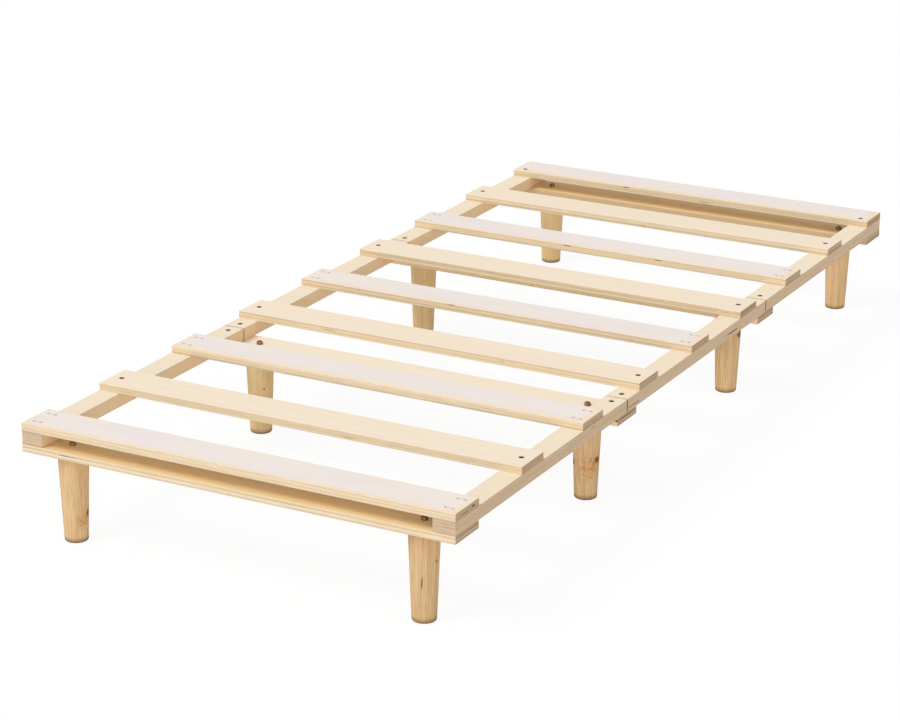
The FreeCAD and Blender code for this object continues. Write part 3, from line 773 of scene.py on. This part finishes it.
# %% [markdown]
# ## Geometry Nodes: a machined board
#
# Slats, rails and cross boards follow one rule: a rectangle with rounded corners is
# pushed along a straight line, the ends are eased a little with sandpaper, and the
# holes are cut. So one tree makes all nineteen, and each takes its own sizes from
# the CAD model. The tree also stores where each point is in its board, and which way
# each face points, for the laminate to read.

# %% The board tree
board_tree, given = start_tree(
    "machined_board", marks="Geometry", length=1.0, width=0.08, thickness=0.014, edge_round=0.8 * MM,
    end_ease=0.4 * MM, middle=(0, 0, 0), turn=0.0, seed=0.0, look=(0, 0, 0), timber="Material",
    dark_wood="Material", pressed_wood="Material",
)
half_length, half_width, half_height = given.length * 0.5, given.width * 0.5, given.thickness * 0.5
outline = given.width.geo("CurvePrimitiveQuadrilateral", Width=given.width, Height=given.thickness)
outline = outline.then("FilletCurve", {"mode": "POLY"}, Count=4, Radius=given.edge_round)
line = outline.geo("CurvePrimitiveLine", Start=(-0.5, 0, 0), End=(0.5, 0, 0))
line = line.then("ResampleCurve", {"mode": "COUNT"}, Count=4)
order = line.geo("InputIndex")
outermost = order.math("LESS_THAN", 0.5) + order.math("GREATER_THAN", 2.5)
station = (order - 1.5).math("SIGN") * (half_length - given.end_ease + outermost * given.end_ease)
line = line.then("SetPosition", Position=station.xyz(station))
bar = line.then("CurveToMesh", Profile_Curve=outline, Fill_Caps=True)

here = bar.geo("InputPosition")
core = here.xyz(half_length, half_width - given.edge_round, half_height - given.edge_round)
inside = here.vector("MAXIMUM", core.vector("MULTIPLY", (-1, -1, -1))).vector("MINIMUM", core)
at_end = here.parts()[0].math("ABSOLUTE").math("GREATER_THAN", half_length - 0.01 * MM)
outward = here.vector("SUBTRACT", inside).vector("NORMALIZE")
bar = bar.then("SetPosition", Offset=outward.vector("SCALE", at_end * given.end_ease * -1))
bar = bar.then("Transform", Translation=given.middle, Rotation=given.turn.turn())
bar = bar.then("SetMaterial", Material=given.timber)
bar = bar.then(
    "Group", {"node_tree": cutting_tree},
    Marks=given.marks, Dark_Wood=given.dark_wood, Pressed_Wood=given.pressed_wood)


def store(geometry, name, value, kind="FLOAT_VECTOR", domain="POINT"):
    """Keep a value on the mesh under a name that a material can read."""
    settings = {"data_type": kind, "domain": domain}
    return geometry.then("StoreNamedAttribute", settings, Name=name, Value=value)


def laid_flat(vector):
    """A direction or place turned back, so that X runs along the board."""
    turned = {"Vector": vector, "Angle": 0 - given.turn}
    return vector.node("ShaderNodeVectorRotate", {"rotation_type": "Z_AXIS"}, turned)


from_middle = laid_flat(here.vector("SUBTRACT", given.middle))
bar = store(bar, "plank", from_middle.vector("ADD", here.xyz(z=half_height)))
bar = store(bar, "plank_half", here.xyz(half_length, half_width, half_height))
bar = store(bar, "plank_seed", given.seed, "FLOAT")
bar = store(bar, "plank_look", given.look)
bar = store(bar, "cut_side", laid_flat(bar.geo("InputNormal")).vector("ABSOLUTE"), domain="FACE")
finish_tree(bar.then("RealizeInstances"))

# %% Making a board from its CAD box
def finish_piece(piece, finish, node):
    """Hand a finished piece to the frame: what it rides on, and what it stands for."""
    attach(piece, "root")
    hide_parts(node)
    print(piece.name, "has", len(piece.data.polygons), "faces")


def machined_board(node, timber, marks, seed, end_ease=0.4 * MM, gap=0.0, look=(0.0, 0.0, 0.0)):
    """A board in the place of a CAD node. gap is taken off each end.

    look is how warm its faces are, how warm its edges are, and how much painted shade darkens its faces. The
    warm tones are painted light and shade for faces that lie in shade under the slats, and an edge look
    above 1 adds painted shade brown.
    """
    low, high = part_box(node)
    size = high - low
    width, length = sorted((size.x, size.y))
    piece = run_tree(
        board_tree, f"{node}_timber", marked_out(node, marks),
        length=length - 2 * gap, width=width, thickness=size.z, end_ease=end_ease,
        middle=list((low + high) / 2), turn=math.pi / 2 if size.y > size.x else 0.0, seed=seed,
        look=list(look), timber=timber, dark_wood=split_wood, pressed_wood=pressed_wood,
    )
    piece.data.shade_flat()
    finish_piece(piece, timber, node)

# %% [markdown]
# ## The nine slats
#
# Slats 2, 4, 6, 8 and 9 are bolted when the bed is put together, with the heads let
# in below the surface. The others come stapled to the rails, in grooves that the
# staple gun crushes into the veneer. A few edges have splits where a layer ran out.

# %% Slats
DENT_SIZE = (6.4 * MM, 6.4 * MM, 2.0 * MM)
DENT_OFFSET = (STAPLE_CROWN - STAPLE_WIRE) / 2 + 1.2 * MM
GROOVE_WIDTH = STAPLE_WIRE + 0.3 * MM
bed_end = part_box("slat_1")[1].x
bed_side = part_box("rail_right_front")[1].x
# Each split is x, y, z, length, height, depth. Without y it is in the front edge.
SPLITS = {
    "slat_1": [(bed_end, -0.915, 0.2098, 13, 3.0, 2.4), (bed_end, -0.946, 0.2082, 30, 0.9, 1.4)],
    "slat_2": [(0.090, None, 0.2065, 22, 0.7, 1.2)],
    "slat_4": [(-0.225, None, 0.2103, 32, 0.8, 1.4), (0.148, None, 0.2101, 14, 0.5, 1.0)],
    "slat_5": [(-0.292, None, 0.2138, 7, 0.9, 1.4), (-0.085, None, 0.2152, 13, 1.3, 1.8)],
    "slat_6": [(0.392, None, 0.2100, 9, 0.8, 1.2)],
    "slat_7": [(-0.062, None, 0.2142, 20, 1.9, 2.6), (0.145, None, 0.2136, 20, 1.6, 2.4)],
    "slat_8": [(0.005, None, 0.2056, 7, 1.0, 1.4)],
    "slat_9": [(-0.144, None, 0.2128, 17, 1.9, 2.4), (0.045, None, 0.2046, 24, 1.1, 1.6)],
    "rail_right_middle": [(bed_side, 0.157, 0.1866, 54, 2.6, 2.6), (bed_side, -0.296, 0.1842, 54, 1.5, 2.2)],
    "rail_right_front": [(bed_side, -0.466, 0.1955, 26, 1.0, 1.4)],
    "rail_left_front": [(-0.400, None, 0.1900, 5, 0.8, 1.2)],
    "cross_board_front": [(-0.336, None, 0.1712, 26, 1.2, 2.0), (-0.318, None, 0.1715, 16, 0.8, 1.4)],
    "cross_board_joint_1": [
        (bed_end - 2 * MM, None, 0.1735, 7, 4.0, 2.4),
        (bed_end, -0.327, 0.1738, 66, 1.3, 1.8),
        (bed_end, -0.3595, 0.1700, 1.8, 8.0, 1.8),
    ],
}
chance = random.Random(19)


def splits_for(node):
    """The splits listed for a piece, and a few more on its back edge or left side."""
    low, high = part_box(node)
    marks = []
    for x, y, *rest in SPLITS.get(node, []):
        marks.append(split(x, low.y if y is None else y, *rest, lengthwise=y is not None))
    crosswise = high.x - low.x > 0.2
    for number in range(chance.randint(1, 3)):
        x = chance.uniform(low.x + 0.05, high.x - 0.05) if crosswise else low.x
        y = high.y if crosswise else chance.uniform(low.y + 0.05, high.y - 0.05)
        z = chance.uniform(low.z + 2 * MM, high.z - 2 * MM)
        marks.append(split(x, y, z, chance.uniform(6, 24), chance.uniform(0.5, 1.4), 1.6, not crosswise))
    return marks


staple_places = []
for index, node in enumerate(slats):
    low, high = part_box(node)
    staple_top = high.z - STAPLE_SINK
    marks = splits_for(node)
    for x in (-rail_line, rail_line):
        if index not in STAPLED:
            marks += bolt_hole(x, bolt_lines[index], low, high, head=True)
            continue
        for y in (slat_lines[index] - STAPLE_OFFSET, slat_lines[index] + STAPLE_OFFSET):
            staple_places.append((x, y, staple_top))
            marks.append(slot(x, y, staple_top - STAPLE_WIRE, high.z + OVERCUT, STAPLE_CROWN, GROOVE_WIDTH))
            marks += staple_legs(x, y, low.z - OVERCUT, staple_top)
            # Dents at the crown's ends, their grey-brown lining partly painted shade.
            marks += [(DENT, (x + side * DENT_OFFSET, y, high.z), DENT_SIZE) for side in SIDES]
    veneer = slat_veneer_pale if index % 2 == 0 else slat_veneer_cream
    # Each slat further back is a little darker: painted falloff of the light from front to back.
    machined_board(node, veneer, marks, seed=index + 0.5, end_ease=0.6 * MM, look=(0.0, 0.0, 0.005 * index))

# %% [markdown]
# ## The rails and cross boards
#
# Each side rail comes in three sections that meet over a cross board. Their sawn
# ends are eased more than the slats', and a hair's gap is left between two sections,
# so that the joint shows as a fine dark line, as it does on a real one. The line is made
# darker with painted shade: a notch lined with dark wood on the outer side, and darker
# faces next to each end.

# %% Rails
RAIL_GAP = 0.8 * MM
DARK_SEAM_NOTCH = (3.2, 29, 4.0)
SEAM_LEVEL = 13.5 * MM
NEAR_MIDDLE = 0.6
rails = [f"rail_{side}_{part}" for side in ("left", "right") for part in ("front", "middle", "back")]

for index, node in enumerate(rails):
    low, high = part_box(node)
    x = middle_of(node).x
    marks = splits_for(node)
    for y in (low.y + JOINT_BOLT_OFFSET, high.y - JOINT_BOLT_OFFSET):
        if abs(y) < NEAR_MIDDLE:
            marks += bolt_hole(x, y, low, high, head=True)
    outer = high.x if "right" in node else low.x
    # A notch at each rail joint on the outer side, lined with dark wood: painted shade in the joint.
    for end_y in (low.y, high.y):
        if abs(end_y) < NEAR_MIDDLE:
            marks.append(split(outer, end_y, low.z + SEAM_LEVEL, *DARK_SEAM_NOTCH))
    for number, y in bolt_lines.items():
        if low.y < y < high.y:
            marks += bolt_hole(x, y, low, high, insert=number != LAST)
    leg_end = high.z + BOARD_THICKNESS - STAPLE_SINK - STAPLE_LENGTH
    for staple_x, y, z in staple_places:
        if abs(staple_x - x) < 1 * MM and low.y < y < high.y:
            marks += staple_legs(x, y, leg_end, high.z + OVERCUT)
    if node.endswith("front"):
        for side in SIDES:
            y = middle_of("cross_board_front").y + side * SCREW_OFFSET
            marks.append(drilled(x, y, low.z - OVERCUT, low.z + SCREW_LENGTH - BOARD_THICKNESS, SCREW_SHANK))
    # The left rails' inner faces, which lie in shade under the slats, get the warm edge tones: painted
    # light.
    look = (0.0, 0.85 if "left" in node else 0.0, 0.0)
    machined_board(node, rail_laminate, marks, seed=20.5 + index, end_ease=0.7 * MM, gap=RAIL_GAP, look=look)

# %% Cross boards
# The looks paint light and shade into the boards seen in the slots: warm faces and edges for their shaded
# colour, and an edge look above 1 adds painted shade brown, as on the back board's edge under slat 9.
BOARD_LOOKS = {
    "cross_board_front": (1.0, 0.0, 0.0),
    "cross_board_joint_1": (0.0, 0.8, 0.0),
    "cross_board_joint_2": (0.0, 0.8, 0.0),
    "cross_board_back": (1.0, 1.36, 0.0),
}
SEAT_SIZE = (SCREW_HEAD, SCREW_HEAD, SCREW_HEAD_DEPTH)

for index, (node, look) in enumerate(BOARD_LOOKS.items()):
    low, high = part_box(node)
    y = middle_of(node).y
    marks = splits_for(node)
    for x in (-leg_line, leg_line):
        marks += bolt_hole(x, y, low, high)
    lines = [bolt_lines[LAST]] if node.endswith("back") else [y - JOINT_BOLT_OFFSET, y + JOINT_BOLT_OFFSET]
    for x in (-rail_line, rail_line):
        if node.endswith("front"):
            for line_y in (y - SCREW_OFFSET, y + SCREW_OFFSET):
                marks.append(drilled(x, line_y, low.z - OVERCUT, high.z + OVERCUT, SCREW_SHANK))
                marks.append((COUNTERSUNK, (x, line_y, low.z + SCREW_HEAD_DEPTH / 2 - 0.02 * MM), SEAT_SIZE))
        else:
            for line_y in lines:
                marks += bolt_hole(x, line_y, low, high, insert=True)
    machined_board(node, board_laminate, marks, seed=40.5 + index, look=look)

# %% [markdown]
# ## Geometry Nodes: a turned leg
#
# A lathe makes the same shape all the way round, so the leg is a circle pushed up a
# line, with its size at each height set by a rule: a straight taper, and a quarter
# round at the foot. Points are closer together near the floor, where the curve is.
#
# The tree also stores `log`, the place in the trunk. The pith, the middle of the
# trunk, is put a little way off the leg, since a leg is hardly ever cut from the
# very centre.

# %% The leg tree
KNOT_NUMBERS = (1, 2, 3)
knot_inputs = {f"knot_{number}": (0.02, 0, 0.05) for number in KNOT_NUMBERS}
knot_inputs |= {f"knot_{number}_reach": (0.003, 0.003, 0.003) for number in KNOT_NUMBERS}
leg_tree, given = start_tree(
    "turned_leg", marks="Geometry", height=0.163, foot_radius=0.021, top_radius=0.0275, foot_round=3 * MM,
    sides=72, stations=60, place=(0, 0, 0), seed=0.0, look=(0, 0, 0), pith=(0.06, 0, 0), lean=(0, 0, 0),
    timber="Material", dark_wood="Material", **knot_inputs,
)
axis = given.height.geo("CurvePrimitiveLine", Start=(0, 0, 0), End=(0, 0, 1))
axis = axis.then("ResampleCurve", {"mode": "COUNT"}, Count=given.stations)
share = axis.geo("SplineParameter")
axis = axis.then("SetPosition", Position=share.xyz(z=share * share * given.height))
level = axis.geo("InputPosition").parts()[2]
taper = given.foot_radius + (given.top_radius - given.foot_radius) * (level / given.height)
missing = (given.foot_round - level).math("MAXIMUM", 0.0)
curve_in = given.foot_round * given.foot_round - missing * missing
girth = taper - given.foot_round + curve_in.math("SQRT")
circle = axis.geo("CurvePrimitiveCircle", Resolution=given.sides, Radius=1.0)
leg = axis.then("CurveToMesh", Profile_Curve=circle, Scale=girth, Fill_Caps=True)
leg = leg.then("Transform", Translation=given.place)
leg = leg.then("SetMaterial", Material=given.timber)
leg = leg.then("Group", {"node_tree": cutting_tree}, Marks=given.marks, Dark_Wood=given.dark_wood)
own_place = leg.geo("InputPosition").vector("SUBTRACT", given.place)
leaning = given.lean.vector("SCALE", own_place.parts()[2])
leg = store(leg, "stem", own_place)
leg = store(leg, "log", own_place.vector("ADD", given.pith).vector("ADD", leaning))
leg = store(leg, "plank_seed", given.seed, "FLOAT")
leg = store(leg, "plank_look", given.look)
for name in knot_inputs:
    leg = store(leg, name, getattr(given, name))
finish_tree(leg.then("RealizeInstances"))

# %% Eight legs
LEG_HEIGHT = 0.163
FOOT_RADIUS = 21.0 * MM
TOP_RADIUS = 27.5 * MM
STUD_PILOT = 6.0 * MM
# Each knot is its angle, its height, and how far it reaches round the leg and up it.
KNOTS = {
    "leg_front_left": ((10, 54, 5, 7), (205, 120, 2, 3), (-20, 42, 4, 6)),
    "leg_front_right": ((-8, 110, 2, 3), (60, 60, 3, 3), (100, 118, 3, 5)),
    "leg_joint_1_right": ((-9, 78, 8, 7.0), (-139, 71, 5, 8), (-50, 64, 8, 9)),
    "leg_joint_1_left": ((-42, 94, 1.6, 2.6), (120, 40, 2, 4), (-150, 60, 2, 3)),
    "leg_joint_2_right": ((-4, 123, 9, 7.5), (150, 60, 2, 3), (100, 100, 2, 4)),
    "leg_joint_2_left": ((200, 70, 3, 5), (60, 130, 2, 2), (120, 40, 3, 5)),
    "leg_back_left": ((95, 45, 3, 5), (10, 140, 1.5, 2), (180, 90, 3, 5)),
    "leg_back_right": ((160, 90, 3, 5), (80, 30, 2, 3), (60, 120, 3, 6)),
}
# Painted light and shade on single legs: darker on the front right leg, where shade falls on its side, and
# paler on legs further back that lie in the slats' shade.
LEG_LIGHT_AND_SHADE = {
    "leg_front_right": (0.10, 0.0, 0.0),
    "leg_joint_1_left": (0.0, 0.34, 0.0),
    "leg_joint_2_left": (0.0, 0.16, 0.0),
    "leg_back_left": (0.0, 0.42, 0.0),
}
SLIT_LEG, SLIT_PLACE, SLIT_SIZE = "leg_front_right", (-71, 74), (3.2, 27.0, 1.0)
CAMERA_SIDE = math.radians(-62)


def on_leg(angle, height):
    """A place on a leg's surface, from its angle in degrees and its height in millimetres."""
    radius = FOOT_RADIUS + (TOP_RADIUS - FOOT_RADIUS) * height * MM / LEG_HEIGHT
    turn = math.radians(angle)
    return [radius * math.cos(turn), radius * math.sin(turn), height * MM]


def smooth_round(piece, angle=35):
    """Shade curved faces smooth, and keep edges sharper than the angle."""
    for face in piece.data.polygons:
        face.use_smooth = True
    piece.data.set_sharp_from_angle(angle=math.radians(angle))
    return piece


for index, (node, knots) in enumerate(KNOTS.items()):
    low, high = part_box(node)
    middle = middle_of(node)
    marks = [drilled(middle.x, middle.y, high.z - STUD_DEPTH, high.z + OVERCUT, STUD_PILOT)]
    if node == SLIT_LEG:
        place = middle + Vector(on_leg(*SLIT_PLACE)) - Vector((0, 0, middle.z - low.z))
        marks.append(split(*place, *SLIT_SIZE))
    knot_values = {}
    for number, (angle, height, around, up) in zip(KNOT_NUMBERS, knots):
        knot_values[f"knot_{number}"] = on_leg(angle, height)
        knot_values[f"knot_{number}_reach"] = [around * MM, around * MM, up * MM]
    pith_turn = CAMERA_SIDE + math.pi / 2 + chance.uniform(-0.35, 0.35) + math.pi * chance.randint(0, 1)
    pith_distance = chance.uniform(0.040, 0.080)
    leg = run_tree(
        leg_tree, f"{node}_pine", marked_out(node, marks),
        height=high.z - low.z, foot_radius=FOOT_RADIUS, top_radius=TOP_RADIUS,
        place=[middle.x, middle.y, low.z], seed=60.5 + index, look=list(LEG_LIGHT_AND_SHADE.get(node, (0, 0, 0))),
        pith=[pith_distance * math.cos(pith_turn), pith_distance * math.sin(pith_turn), 0.0],
        lean=[chance.uniform(-0.02, 0.02), chance.uniform(-0.02, 0.02), 0.0],
        timber=leg_pine, dark_wood=split_wood, **knot_values,
    )
    finish_piece(smooth_round(leg), leg_pine, node)

# %% [markdown]
# ## Patterns for the metal pieces
#
# Bolts, nuts and screws are turned too, but parts of them are six-sided or crossed.
# The function below makes all of them: it takes a list of rings from one end to the
# other, and each ring has a size, a height and a form. A socket is a hexagonal ring
# inside a round one. A thread is a ring whose size grows and shrinks as it goes
# round, a little further on at each height.

# %% Rings of any form
PITCH = 1.0 * MM
THREAD_DEPTH = 0.55 * MM


def round_form(size, angle, height):
    return size


def hex_form(size, angle, height):
    """size is the distance from the middle to a flat."""
    within = (angle + math.pi / 6) % (math.pi / 3) - math.pi / 6
    return size / math.cos(within)


def thread_form(size, angle, height):
    """A ridge that climbs one pitch in each turn."""
    phase = (height / PITCH - angle / (2 * math.pi)) % 1.0
    return size - THREAD_DEPTH * abs(2 * phase - 1)


def cross_form(size, angle, height):
    """A cross recess; size is the reach of an arm."""
    within = (angle + math.pi / 4) % (math.pi / 2) - math.pi / 4
    half_arm = 0.24 * size
    if abs(math.tan(within)) * size < half_arm:
        return size / math.cos(within)
    return half_arm / abs(math.sin(within))


def ringed_solid(name, rings, steps=24, closed_loop=False):
    """A mesh through rings of size, height and form, round unless one is given. Size 0 is a point."""
    shape = bmesh.new()
    loops = []
    for size, height, *form in rings:
        radius_at = form[0] if form else round_form
        loop = []
        for step in range(steps if size else 1):
            angle = 2 * math.pi * step / steps
            radius = radius_at(size, angle, height) if size else 0
            loop.append(shape.verts.new((radius * math.cos(angle), radius * math.sin(angle), height)))
        loops.append(loop)
    pairs = list(zip(loops, loops[1:]))
    if closed_loop:
        pairs.append((loops[-1], loops[0]))
    for lower, upper in pairs:
        for step in range(steps):
            after = (step + 1) % steps
            if len(lower) == 1:
                shape.faces.new((lower[0], upper[after], upper[step]))
            elif len(upper) == 1:
                shape.faces.new((lower[step], lower[after], upper[0]))
            else:
                shape.faces.new((lower[step], lower[after], upper[after], upper[step]))
    bmesh.ops.recalc_face_normals(shape, faces=shape.faces)
    mesh = bpy.data.meshes.new(name)
    shape.to_mesh(mesh)
    shape.free()
    return bpy.data.objects.new(name, mesh)


def thread_rings(size, start, stop):
    """Rings a quarter of a pitch apart, up or down from start to stop."""
    count = int(abs(stop - start) / (PITCH / 4))
    return [(size, start + (stop - start) * step / count, thread_form) for step in range(count + 1)]

# %% [markdown]
# A socket head bolt, top at the origin: a dished socket, a chamfered rim, the
# underside of the head, a plain shank, and thread on the part that reaches the nut.

# %% Bolt patterns
HEAD_RADIUS = 5.0 * MM
HEAD_HEIGHT = 6.0 * MM
SHANK_RADIUS = 3.0 * MM
SOCKET_REACH = 2.5 * MM
SOCKET_DEPTH = 3.0 * MM
THREADED = 18 * MM


def bolt_pattern(name, length):
    thread_start = -length + THREADED
    return ringed_solid(name, [
        (0, -SOCKET_DEPTH - 0.6 * MM),
        (SOCKET_REACH, -SOCKET_DEPTH, hex_form),
        (SOCKET_REACH, -0.25 * MM, hex_form),
        (SOCKET_REACH + 0.3 * MM, 0.0, hex_form),
        (HEAD_RADIUS - 0.6 * MM, 0.0),
        (HEAD_RADIUS - 0.17 * MM, -0.17 * MM),
        (HEAD_RADIUS, -0.6 * MM),
        (HEAD_RADIUS, -HEAD_HEIGHT + 0.3 * MM),
        (HEAD_RADIUS - 0.3 * MM, -HEAD_HEIGHT),
        (SHANK_RADIUS, -HEAD_HEIGHT),
        (SHANK_RADIUS, thread_start),
        *thread_rings(SHANK_RADIUS, thread_start - 0.25 * MM, -length + 0.8 * MM),
        (SHANK_RADIUS - 0.8 * MM, -length),
        (0, -length),
    ])


short_bolt = bolt_pattern("short_bolt", 36.0 * MM)
long_bolt = bolt_pattern("long_bolt", 50.0 * MM)

# %% [markdown]
# The stud is threaded all over: its lower half cuts its own way into the leg, and the
# upper half takes the flanged nut. The nut is a hexagon with its corners turned off,
# on a round flange that spreads the load.

# %% Stud and nut patterns
STUD_LENGTH = 58.0 * MM
NUT_REACH = 5.2 * MM
NUT_HEIGHT = 6.0 * MM
FLANGE_RADIUS = 6.0 * MM
FLANGE_HEIGHT = 1.2 * MM

stud = ringed_solid("stud", [
    (0, 0),
    (1.2 * MM, 0),
    *thread_rings(SHANK_RADIUS, 2.0 * MM, STUD_LENGTH - 0.7 * MM),
    (SHANK_RADIUS - 0.7 * MM, STUD_LENGTH),
    (0, STUD_LENGTH),
])
leg_nut = ringed_solid("leg_nut", [
    (SHANK_RADIUS, 0),
    (FLANGE_RADIUS - 0.3 * MM, 0),
    (FLANGE_RADIUS, 0.3 * MM),
    (FLANGE_RADIUS, FLANGE_HEIGHT - 0.3 * MM),
    (FLANGE_RADIUS - 0.4 * MM, FLANGE_HEIGHT),
    (NUT_REACH + 0.7 * MM, FLANGE_HEIGHT + 0.5 * MM),
    (NUT_REACH, FLANGE_HEIGHT + 0.9 * MM, hex_form),
    (NUT_REACH, NUT_HEIGHT - 0.8 * MM, hex_form),
    (NUT_REACH - 0.15 * MM, NUT_HEIGHT - 0.1 * MM),
    (NUT_REACH - 0.4 * MM, NUT_HEIGHT),
    (SHANK_RADIUS + 0.5 * MM, NUT_HEIGHT),
    (SHANK_RADIUS, NUT_HEIGHT - 0.5 * MM),
], closed_loop=True)

# %% [markdown]
# An insert nut is screwed into the wood from below with a hexagon key, so its flange
# has a hexagonal mouth, and its barrel a coarse outer thread. The wood screws have a
# countersunk head with a cross recess, and a point.

# %% Insert nut and screw patterns
BARREL_RADIUS = 4.75 * MM
COLLAR_RADIUS = 6.5 * MM

insert_nut = ringed_solid("insert_nut", [
    (SHANK_RADIUS + 0.35 * MM, 0.2 * MM, hex_form),
    (SHANK_RADIUS + 0.1 * MM, 2.0 * MM, hex_form),
    (SHANK_RADIUS, 2.6 * MM),
    (SHANK_RADIUS, INSERT_DEPTH - 0.4 * MM),
    (SHANK_RADIUS + 0.4 * MM, INSERT_DEPTH),
    (BARREL_RADIUS - 0.6 * MM, INSERT_DEPTH),
    *thread_rings(BARREL_RADIUS, INSERT_DEPTH - 0.5 * MM, FLANGE_DEPTH + 0.4 * MM),
    (BARREL_RADIUS - 0.3 * MM, FLANGE_DEPTH),
    (COLLAR_RADIUS - 0.2 * MM, FLANGE_DEPTH),
    (COLLAR_RADIUS, FLANGE_DEPTH - 0.2 * MM),
    (COLLAR_RADIUS, 0.35 * MM),
    (COLLAR_RADIUS - 0.35 * MM, 0),
    (SHANK_RADIUS + 0.7 * MM, 0, hex_form),
], closed_loop=True)
screw = ringed_solid("screw", [
    (0, 1.6 * MM),
    (1.3 * MM, 1.2 * MM, cross_form),
    (2.2 * MM, 0.05 * MM, cross_form),
    (SCREW_HEAD / 2 - 0.1 * MM, 0),
    (SCREW_HEAD / 2, 0.15 * MM),
    (SCREW_SHANK / 2, SCREW_HEAD_DEPTH),
    (SCREW_SHANK / 2, SCREW_HEAD_DEPTH + 2 * MM),
    *thread_rings(SCREW_SHANK / 2, SCREW_HEAD_DEPTH + 2.3 * MM, SCREW_LENGTH - 5 * MM),
    (0.9 * MM, SCREW_LENGTH - 2.4 * MM),
    (0, SCREW_LENGTH),
], steps=48)
patterns = (short_bolt, long_bolt, stud, leg_nut, insert_nut, screw)
print("faces of each pattern:", {pattern.name: len(pattern.data.polygons) for pattern in patterns})

# %% [markdown]
# ## Geometry Nodes: hardware set out on its marks
#
# Fitters do not line up their bolts, so each copy is turned by a random amount from a
# fixed seed. The tree takes the pattern and the marks, makes the copies real, and
# gives them their metal.

# %% The hardware tree
hardware_tree, given = start_tree(
    "hardware_on_marks", marks="Geometry", pattern="Object", seed=1, metal="Material",
)


def on_marks(given, pattern, **how):
    """A copy of the pattern on each mark, made real and given its metal."""
    copies = given.marks.then("InstanceOnPoints", Instance=pattern, **how)
    copies = copies.then("RealizeInstances")
    return copies.then("SetMaterial", Material=given.metal)


pattern = given.pattern.then("ObjectInfo", {"transform_space": "ORIGINAL"}).out("Geometry")
full_turn = {"Min": 0.0, "Max": 2 * math.pi, "Seed": given.seed}
spin = pattern.node("FunctionNodeRandomValue", {"data_type": "FLOAT"}, full_turn)
finish_tree(on_marks(given, pattern, Rotation=spin.turn()))


def set_out(tree, node, places, finish, **values):
    """Run a tree on a point at each place, and hand over the piece."""
    points = bpy.data.meshes.new(f"{node}_marks")
    points.from_pydata(places, [], [])
    piece = run_tree(tree, f"{node}_metal", points, metal=finish, **values)
    finish_piece(smooth_round(piece), finish, node)

# %% Bolts, studs, nuts and screws in place
HEAD_SINK = 0.4 * MM
rail_low, rail_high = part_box("rail_left_front")
board_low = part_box("cross_board_front")[0]
head_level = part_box("slat_1")[1].z - HEAD_SINK
board_lines = [middle_of(node).y for node in BOARD_LOOKS]
joint_lines = [y + way * JOINT_BOLT_OFFSET for y in board_lines[1:3] for way in SIDES]
screw_lines = [board_lines[0] + way * SCREW_OFFSET for way in SIDES]


def both_sides(lines, reach, z):
    """Places on the left and right of each line across the bed."""
    return [(side * reach, y, z) for y in lines for side in SIDES]


slat_bolts = both_sides([bolt_lines[i] for i in (1, 3, 5, 7)], rail_line, head_level)
last_bolts = both_sides([bolt_lines[LAST]], rail_line, head_level)
joint_bolts = both_sides(joint_lines, rail_line, rail_high.z - HEAD_SINK)
studs = both_sides(board_lines, leg_line, board_low.z - STUD_DEPTH)
nuts = both_sides(board_lines, leg_line, rail_low.z)
rail_inserts = [(x, y, rail_low.z) for x, y, z in slat_bolts]
board_inserts = [(x, y, board_low.z) for x, y, z in joint_bolts + last_bolts]
screws = [(side * rail_line, y, board_low.z) for side in SIDES for y in screw_lines]

for seed, (node, pattern, places, finish) in enumerate((
    ("slat_bolts", short_bolt, slat_bolts, bronzed_steel),
    ("last_slat_bolts", long_bolt, last_bolts, bronzed_steel),
    ("joint_bolts", short_bolt, joint_bolts, bronzed_steel),
    ("leg_hanger_bolts", stud, studs, bronzed_steel),
    ("leg_flange_nuts", leg_nut, nuts, nut_steel),
    ("rail_insert_nuts", insert_nut, rail_inserts, zinc_steel),
    ("board_insert_nuts", insert_nut, board_inserts, zinc_steel),
    ("front_board_screws", screw, screws, zinc_steel),
), 3):
    set_out(hardware_tree, node, places, finish, pattern=pattern, seed=seed)
for pattern in patterns:
    bpy.data.objects.remove(pattern)

# %% [markdown]
# ## Geometry Nodes: staples
#
# A staple is one length of square wire with two bends, so it is a square pushed along
# a bent line. The line is four points with the two corners rounded. It could be three
# boxes, but the bends catch the light where the crown meets the legs.

# %% The staple tree
staple_tree, given = start_tree(
    "staples_on_marks", marks="Geometry", crown=STAPLE_CROWN, length=STAPLE_LENGTH, wire=STAPLE_WIRE,
    bend=1.0 * MM, metal="Material",
)
side_reach = (given.crown - given.wire) * 0.5
crown_level = given.wire * -0.5
tip_level = given.length * -1
corners = {
    "Point_1": side_reach.xyz(0 - side_reach, z=tip_level),
    "Point_2": side_reach.xyz(0 - side_reach, z=crown_level),
    "Point_3": side_reach.xyz(side_reach, z=crown_level),
    "Point_4": side_reach.xyz(side_reach, z=tip_level),
}
bent = side_reach.geo("CurvePrimitiveQuadrilateral", {"mode": "POINTS"}, **corners)
bent = bent.then("SetSplineCyclic", Cyclic=False)
bent = bent.then("FilletCurve", {"mode": "POLY"}, Count=4, Radius=given.bend)
square = bent.geo("CurvePrimitiveQuadrilateral", Width=given.wire, Height=given.wire)
square = square.then("FilletCurve", {"mode": "POLY"}, Count=2, Radius=given.wire * 0.12)
finish_tree(on_marks(given, bent.then("CurveToMesh", Profile_Curve=square, Fill_Caps=True)))

# %% Sixteen staples
set_out(staple_tree, "slat_staples", staple_places, staple_steel)
